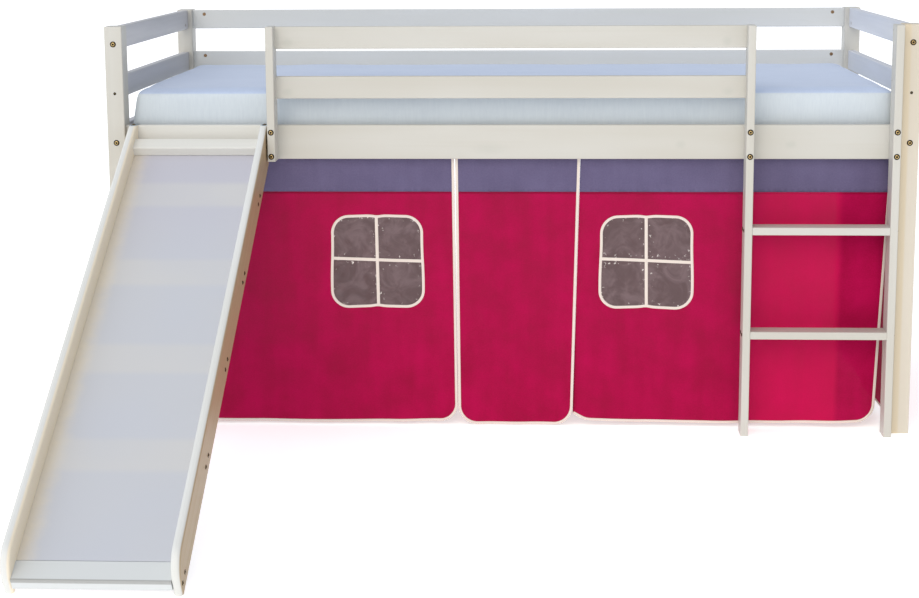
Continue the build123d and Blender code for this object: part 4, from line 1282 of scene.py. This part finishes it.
# %% Panels of the front curtain
CURTAIN_CORNER = 48 * MM
DOOR_CORNER = 52 * MM
DOOR_FOOT_WIDTH = 302 * MM
DOOR_LEAN = 5 * MM
RIGHT_LEAN = 27 * MM
PANEL_GAP = 2.5 * MM
FOOT_GAP = 0.9 * MM
SEAM_GAP = 0.6 * MM
HEM_EASE = 8 * MM
DOOR_EASE = 4 * MM
door_top = (header_low.x, header_high.x)
door_foot = (door_top[0] + DOOR_LEAN, door_top[0] + DOOR_LEAN + DOOR_FOOT_WIDTH)
left_top = (left_low.x, door_top[0] - PANEL_GAP)
left_foot = (left_low.x, door_foot[0] - FOOT_GAP)
right_top = (door_top[1] + SEAM_GAP, right_high.x + RIGHT_LEAN)
right_foot = (door_foot[1] + SEAM_GAP, right_high.x)
left_panel = Panel("left", left_top, left_foot, left_low.z - HEM_EASE, CURTAIN_CORNER, in_front,
                   seed=11, sag=5 * MM)
right_panel = Panel("right", right_top, right_foot, right_low.z - HEM_EASE, CURTAIN_CORNER, in_front,
                    seed=23, sag=6 * MM, joined_left=True)
door_panel = Panel("door", door_top, door_foot, door_low.z - DOOR_EASE, DOOR_CORNER, in_front,
                   seed=37, sag=1 * MM)
print("hems at", [round(panel.hem, 3) for panel in (left_panel, door_panel, right_panel)])


def carry(made, panel):
    """Front and end curtains hang on the frame, and the door's pieces only have their transforms baked."""
    if panel is door_panel:
        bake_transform(made)
    else:
        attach(made, "frame")


# %% Sew the front curtain
WINDOW_BINDING = 7.4 * MM
STITCH_INSET = BINDING_WIDTH - 1.2 * MM
TOPSTITCH_DROP = 2.2 * MM


def sew(panel, nodes, window_x=None, window_bottom=None):
    """Cuts, hangs and binds one panel: band, body, binding, stitches and, if it has one, its window."""
    name = panel.name
    edge = side_path(panel)
    holes = [window_loop(window_x, window_bottom)] if window_x is not None else []
    body, body_area = cut_cloth(name + "_curtain_body", body_loop(panel), holes, panel, CLOTH_SPACING,
                                CLOTH_THICKNESS, crimson_cloth)
    band, band_area = cut_cloth(name + "_curtain_band", band_loop(panel), [], panel, CLOTH_SPACING,
                                CLOTH_THICKNESS, violet_cloth)
    piping = [bind(name + "_curtain_binding", [inset(edge, BINDING_WIDTH / 2, False)], [False], panel)]
    sewn = [inset(edge, STITCH_INSET, False)]
    for hole in holes:
        rim = inset(hole, -WINDOW_BINDING / 4, True)
        piping.append(bind(name + "_window_binding", [rim], [True], panel, WINDOW_BINDING))
        sewn.append(inset(hole, -WINDOW_BINDING * 0.55, True))
    piping.append(stitch(name + "_curtain_stitches", sewn, [False, True], panel, BINDING_THICKNESS / 2))
    start, end = panel.side(0, seam_z) + BINDING_WIDTH, panel.side(1, seam_z) - BINDING_WIDTH
    seam = [Vector((u, seam_z - TOPSTITCH_DROP)) for u in np.arange(start, end, EDGE_SPACING)]
    topstitch = stitch(name + "_seam_stitches", [seam], [False], panel, CLOTH_THICKNESS / 2, crimson_thread,
                       STITCH_RADIUS * 0.8)
    for made, slot in ([(body, "curtain_cloth"), (band, "band_cloth"), (topstitch, "curtain_cloth")] +
                       [(piece, "piping") for piece in piping]):
        carry(made, panel)
    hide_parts(nodes[0])
    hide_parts(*nodes[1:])


left_film_low, left_film_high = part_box("window_film_left")
right_film_low, right_film_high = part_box("window_film_right")
left_window_x = (left_film_low.x + left_film_high.x) / 2
right_window_x = (right_film_low.x + right_film_high.x) / 2
window_bottom = (left_film_low.z + left_film_high.z - WINDOW_HEIGHT) / 2
sew(left_panel, ["curtain_left", "curtain_left_band"], left_window_x, window_bottom)
sew(right_panel, ["curtain_right", "curtain_right_band"], right_window_x, window_bottom)
sew(door_panel, ["curtain_door", "curtain_door_band", "curtain_door_header"])

# %% [markdown]
# ## Windows
# Each window is one sheet of film sewn behind the opening, and two cream tapes cross it. The film
# is the same kind of cut sheet as the cloth, with finer points so that it can crinkle. Its dark
# brown colour is painted shade of the dim bed behind it, and a value that is strongest beside the
# tapes and the binding, where real film buckles, places painted glints there.
# %% Films and cross tapes
BAR_WIDTH = 8.2 * MM
BAR_THICKNESS = 2.0 * MM
BAR_HEIGHT_SHARE = 0.52
BAR_LEAN = 1.5 * MM
BAR_TILT = 4 * MM
FILM_SPACING = 4 * MM
FILM_THICKNESS = 0.5 * MM
FILM_LIFT = -1 * MM
FILM_OVERLAP = 8 * MM
CREASE_REACH = 24 * MM
CREASE_LEAST = 0.12


def glaze(panel, film_node, centre_x, bottom, seed):
    """Film and crossing tapes for one window."""
    loop = window_loop(centre_x, bottom, grow_by=FILM_OVERLAP)
    film = cut_cloth(panel.name + "_window_film", loop, [], panel, FILM_SPACING, FILM_THICKNESS,
                     window_film, lift=FILM_LIFT, crinkle=crinkle_of(seed))[0]
    bar_z = bottom + WINDOW_HEIGHT * BAR_HEIGHT_SHARE
    points = np.array([vertex.co for vertex in film.data.vertices])[:, [0, 2]]
    # Nearness to the tapes and the binding, where painted glints show.
    beside_bars = np.abs(points - (centre_x, bar_z)).min(axis=1)
    near = np.minimum(beside_bars, beside(points, np.array(loop)))
    give(film.data, "crease", np.clip(1 - near / CREASE_REACH, CREASE_LEAST, 1), "FLOAT")
    half = WINDOW_WIDTH / 2
    upright = [Vector((centre_x + BAR_LEAN, bottom)), Vector((centre_x - BAR_LEAN, bottom + WINDOW_HEIGHT))]
    level = [Vector((centre_x - half, bar_z + BAR_TILT)), Vector((centre_x + half, bar_z - BAR_TILT))]
    paths = [spaced(bar, EDGE_SPACING, closed=False) for bar in (upright, level)]
    bars = bind(panel.name + "_window_bars", paths, [False, False], panel, BAR_WIDTH, BAR_THICKNESS)
    for made, slot in ((film, "window_film"), (bars, "piping")):
        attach(made, "frame")
    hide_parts(film_node)
    print(panel.name, "window film", len(film.data.polygons), "faces")


glaze(left_panel, "window_film_left", left_window_x, window_bottom, 5)
glaze(right_panel, "window_film_right", right_window_x, window_bottom, 9)

# %% [markdown]
# ## End curtains
# A plain panel hangs inside each end rail. It is cut, bound and sewn by the same functions, and
# only its place differs: its flat width runs along the bed's Y, and its face looks out of the end.
# %% Hang the end curtains
END_SEED = 51
END_SAG = 4 * MM
for side, sign in (("left", -1), ("right", 1)):
    low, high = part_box("curtain_end_" + side)
    outer_x = high.x if sign > 0 else low.x
    middle_y = (low.y + high.y) / 2

    def at_end(u, depth, z, outer_x=outer_x, sign=sign, middle_y=middle_y):
        return np.stack([outer_x - sign * (CLOTH_STANDOFF + depth), middle_y + sign * u, z], axis=1)

    span = (-(high.y - low.y) / 2, (high.y - low.y) / 2)
    end_panel = Panel("end_" + side, span, span, low.z, CURTAIN_CORNER, at_end, END_SEED + sign, END_SAG)
    sew(end_panel, ["curtain_end_" + side] + (["curtain_end_bands"] if side == "right" else []))

# %% [markdown]
# ## Mattress
# The mattress is a foam slab in a brushed white cover. Foam covers are never quite flat: the top
# swells between the seams and the sides draw in a little. A slab is remeshed into even small
# faces, and Blender's Cloth blows it up slightly against its own springs. How far a point may
# move is capped, so the slab stays between the rails.
# %% Mattress cover material
COVER_BLUE = (0.535, 0.590, 0.645, 1)
COVER_WHITE = (0.580, 0.635, 0.680, 1)
TOP_SHADE_BLUE = (0.430, 0.510, 0.680, 1)
TOP_SHADE_WHITE = (0.480, 0.560, 0.730, 1)
TOP_SHADE_DROP = 14 * MM
RIB_STRETCH = (260, 260, 30)


def cover_material():
    material, tree, shader = new_material("brushed_cover", Roughness=0.88, Sheen_Weight=0.3,
                                          Specular_IOR_Level=0.2)
    place = place_of(tree)
    clouds = noise(tree, place, 6.0, 4.0, 0.6)
    ribs = noise(tree, vectors(tree, "MULTIPLY", place, RIB_STRETCH), 1.0, 2.0, 0.6)
    mix = maths(tree, "ADD", maths(tree, "MULTIPLY", clouds, 0.55), maths(tree, "MULTIPLY", ribs, 0.45))
    share = spread(tree, mix, 0.3, 0.7)
    # The top is painted darker and bluer than the sides, as painted cool shade; it starts a little below
    # the top edge.
    side, top = tint(tree, share, COVER_BLUE, COVER_WHITE), tint(tree, share, TOP_SHADE_BLUE, TOP_SHADE_WHITE)
    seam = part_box("mattress")[1].z - TOP_SHADE_DROP
    top_shade_share = spread(tree, axis_of(tree, place, 2), seam, seam + 4 * MM)
    nap = maths(tree, "MULTIPLY", noise(tree, place, 700.0), 0.3)
    height = maths(tree, "ADD", maths(tree, "MULTIPLY", ribs, 0.5), nap)
    connect(tree, shader, Base_Color=tint(tree, top_shade_share, side, top),
            Normal=bump(tree, height, 0.45, 0.8 * MM))
    return material


brushed_cover = cover_material()
print("cover mixed for its sides and its top")

# %% Shape of the slab
SLAB_INSET = Vector((2, 5, 5)) * MM
SLAB_CORNER = 12 * MM
SLAB_EDGE = 9 * MM
SLAB_SPACING = 30 * MM
TOP_ROOM = Vector((0, 0, 2 * MM))


def slab_mesh(low, high):
    """A block with rounded upright corners and softened rims."""
    half, middle = (high - low) / 2, (high + low) / 2
    plan = [(x * half.x, y * half.y) for x, y in ((-1, -1), (1, -1), (1, 1), (-1, 1))]
    outline = spaced(rounded(plan, [SLAB_CORNER] * 4, 8), SLAB_SPACING)
    rim = [(SLAB_EDGE, half.z), (SLAB_EDGE * 0.3, half.z - SLAB_EDGE * 0.3), (0, half.z - SLAB_EDGE)]
    rings = [(draw, -z) for draw, z in rim] + rim[::-1]
    points, count = [], len(outline)
    for draw, z in rings:
        points += [(point.x + middle.x, point.y + middle.y, z + middle.z)
                   for point in inset(outline, draw, True)]
    faces = [tuple(reversed(range(count))), tuple(range(count * (len(rings) - 1), count * len(rings)))]
    for start in range(0, count * (len(rings) - 1), count):
        for index in range(count):
            after = (index + 1) % count
            faces.append((start + index, start + after, start + count + after, start + count + index))
    return mesh_of("mattress_cover", points, faces)


bed_low, bed_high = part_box("mattress")
slab_low, slab_high = bed_low + SLAB_INSET, bed_high - SLAB_INSET - TOP_ROOM
cover = new_object("mattress_cover", slab_mesh(slab_low, slab_high), brushed_cover)
print("slab of", [round(size / MM) for size in slab_high - slab_low], "mm")

# %% Inflate the cover
SLAB_VOXEL = 13 * MM
SLAB_PRESSURE = 3.0
SLAB_FRAMES = 14
SLAB_CAP = 9 * MM


def points_of(made):
    return np.array([vertex.co for vertex in made.data.vertices])


remesh = cover.modifiers.new("even_faces", "REMESH")
remesh.mode = "VOXEL"
remesh.voxel_size = SLAB_VOXEL
settle(cover)
cover.data.materials.clear()
cover.data.materials.append(brushed_cover)
start_points = points_of(cover)
cloth = cover.modifiers.new("foam_cover", "CLOTH")
cloth.settings.use_pressure = True
cloth.settings.uniform_pressure_force = SLAB_PRESSURE
cloth.settings.effector_weights.gravity = 0
cloth.settings.quality = 4
cloth.settings.tension_stiffness = 12
cloth.settings.bending_stiffness = 0.6
cloth.point_cache.frame_start = 1
cloth.point_cache.frame_end = SLAB_FRAMES
for moment in range(1, SLAB_FRAMES + 1):
    bpy.context.scene.frame_set(moment)
settle(cover)
bpy.context.scene.frame_set(1)
moved = points_of(cover) - start_points
far = np.linalg.norm(moved, axis=1)
shaped = start_points + moved * (np.minimum(far, SLAB_CAP) / np.maximum(far, 1e-9))[:, None]
print("the cover moved up to", round(float(far.max()) / MM, 1), "mm")

# %% Draw in the ends and finish the mattress
TOP_SWELL = 1.6 * MM
END_DRAWS = ((slab_low.x, 22 * MM), (slab_high.x, -8 * MM))
END_REACH = 60 * MM
DRAW_DEPTH = 0.30
top_share = np.clip((shaped[:, 2] - slab_low.z) / (slab_high.z - slab_low.z), 0, 1)
shaped[:, 2] += TOP_SWELL * top_share * ripple(shaped[:, 0] * 0.8, shaped[:, 1], 71)
for end, draw in END_DRAWS:
    beside_end = np.clip(1 - np.abs(shaped[:, 0] - end) / END_REACH, 0, 1)
    beside_front = np.clip(1 - (shaped[:, 1] - slab_low.y) / DRAW_DEPTH, 0, 1)
    shaped[:, 0] += draw * top_share * beside_end * beside_front
shaped[:, 1] = np.clip(shaped[:, 1], bed_low.y, bed_high.y)
shaped[:, 2] = np.clip(shaped[:, 2], bed_low.z, bed_high.z + TOP_ROOM.z)
cover.data.vertices.foreach_set("co", shaped.astype(np.float32).ravel())
finer = cover.modifiers.new("finer", "SUBSURF")
finer.levels = finer.render_levels = 1
smooth(settle(cover))
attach(cover, "mattress")
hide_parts("mattress")
print("mattress", len(cover.data.polygons), "faces")

# %% [markdown]
# ## Webbing, hook tape and staples
# Two webbing straps space the slats from below, and hook tape inside the rails takes the curtains.
# Both are long thin strips. A strip is a grid that follows a formula, and the staples that hold it
# repeat, so one Geometry Nodes tree sets them at the slats and along the tape.
# %% Strips
STRIP_THICKNESS = 0.9 * MM
webbing_cloth = cloth_material("webbing_cloth", (0.52, 0.49, 0.42, 1), (0.70, 0.67, 0.58, 1), False,
                               pitch=2.4 * MM)
hook_tape_cloth = cloth_material("hook_tape_cloth", (0.62, 0.62, 0.60, 1), (0.78, 0.78, 0.75, 1), False,
                                 pitch=1.6 * MM)


def strip(name, line, across, width, material):
    """A flat strip along a line of points, held by what it rests on."""
    line, across = np.array(line), np.array(across, float)
    rows = np.linspace(-width / 2, width / 2, 5)
    points = [point + across * offset for point in line for offset in rows]
    lengths = np.concatenate([[0], np.cumsum(np.linalg.norm(np.diff(line, axis=0), axis=1))])
    flat = np.array([(length, offset) for length in lengths for offset in rows])
    faces = [(i * 5 + j, i * 5 + j + 1, i * 5 + j + 6, i * 5 + j + 5)
             for i in range(len(line) - 1) for j in range(4)]
    made = thicken(name, points, faces, flat, STRIP_THICKNESS, material)
    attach(made, "frame")
    return made


# %% Webbing under the slats
WEBBING_SAG = 1.5 * MM
SLAT_REACH = 35 * MM
STAPLE_LIFT = 0.5 * MM
staples = []
slat_x = sorted(points[:, 0].mean() for points in islands("bed_slats"))
for index, points in enumerate(islands("slat_webbing")):
    low, high = Vector(points.min(0)), Vector(points.max(0))
    xs = np.linspace(low.x, high.x, 160)
    away = np.min(np.abs(xs[:, None] - np.array(slat_x)[None]), axis=1)
    sag = WEBBING_SAG * np.clip((away - SLAT_REACH) / SLAT_REACH, 0, 1) ** 2
    middle_y, z = (low.y + high.y) / 2, (low.z + high.z) / 2
    line = [(x, middle_y, z - drop) for x, drop in zip(xs, sag)]
    web = strip("slat_strap_" + str(index + 1), line, (0, 1, 0), high.y - low.y, webbing_cloth)
    if index == 0:
        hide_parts("slat_webbing")
    staples += [((x, middle_y, z - STAPLE_LIFT), (0, 1, 0), (0, 0, -1)) for x in slat_x]
print(len(slat_x), "slats,", len(staples), "staples under them")

# %% Hook tape inside the rails
TAPE_STAPLE_PITCH = 0.16
for index, points in enumerate(islands("curtain_tapes")):
    low, high = Vector(points.min(0)), Vector(points.max(0))
    size, middle = high - low, (high + low) / 2
    lengthwise = size.x > size.y
    along = Vector((1, 0, 0)) if lengthwise else Vector((0, 1, 0))
    inward = Vector((0, 1, 0)) if lengthwise else Vector((-math.copysign(1, middle.x), 0, 0))
    reach = max(size.x, size.y) / 2
    line = [tuple(middle + along * reach * share) for share in np.linspace(-1, 1, 120)]
    tape = strip("hook_tape_" + str(index + 1), line, (0, 0, 1), size.z, hook_tape_cloth)
    if index == 0:
        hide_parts("curtain_tapes")
    for offset in np.arange(-reach + TAPE_STAPLE_PITCH / 2, reach, TAPE_STAPLE_PITCH):
        staples.append((middle + along * float(offset) + inward * STAPLE_LIFT, along, inward))
print(len(staples), "staples in all")

# %% Staples
STAPLE_WIDTH = 9 * MM
STAPLE_WIRE = 0.55 * MM
staple_steel = metal_material("staple_steel", (0.62, 0.62, 0.62, 1), (0.42, 0.42, 0.42, 1), (0.25, 0.4))


def build_staple_tree():
    sockets = [("Width", "Float"), ("Wire", "Float"), ("Material", "Material")]
    tree, given, result = new_tree("staple_tree", sockets)
    laid = lay_rods(tree, given["Geometry"], 8, given["Wire"], given["Width"], named(tree, "along"),
                    named(tree, "facing"))
    close_tree(tree, laid, given["Material"], result)
    return tree


places, along, facing = (np.array([tuple(staple[index]) for staple in staples]) for index in range(3))
mesh = mesh_of("staples", places, [])
give(mesh, "along", along)
give(mesh, "facing", facing)
wires = grow(new_object("staples", mesh), build_staple_tree(),
             {"Width": STAPLE_WIDTH, "Wire": STAPLE_WIRE, "Material": staple_steel})
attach(wires, "frame")
print("staples", len(wires.data.polygons), "faces")

# %% Print the sizes and finish
low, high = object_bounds()
print("visual box", [round(v, 4) for v in low], [round(v, 4) for v in high])
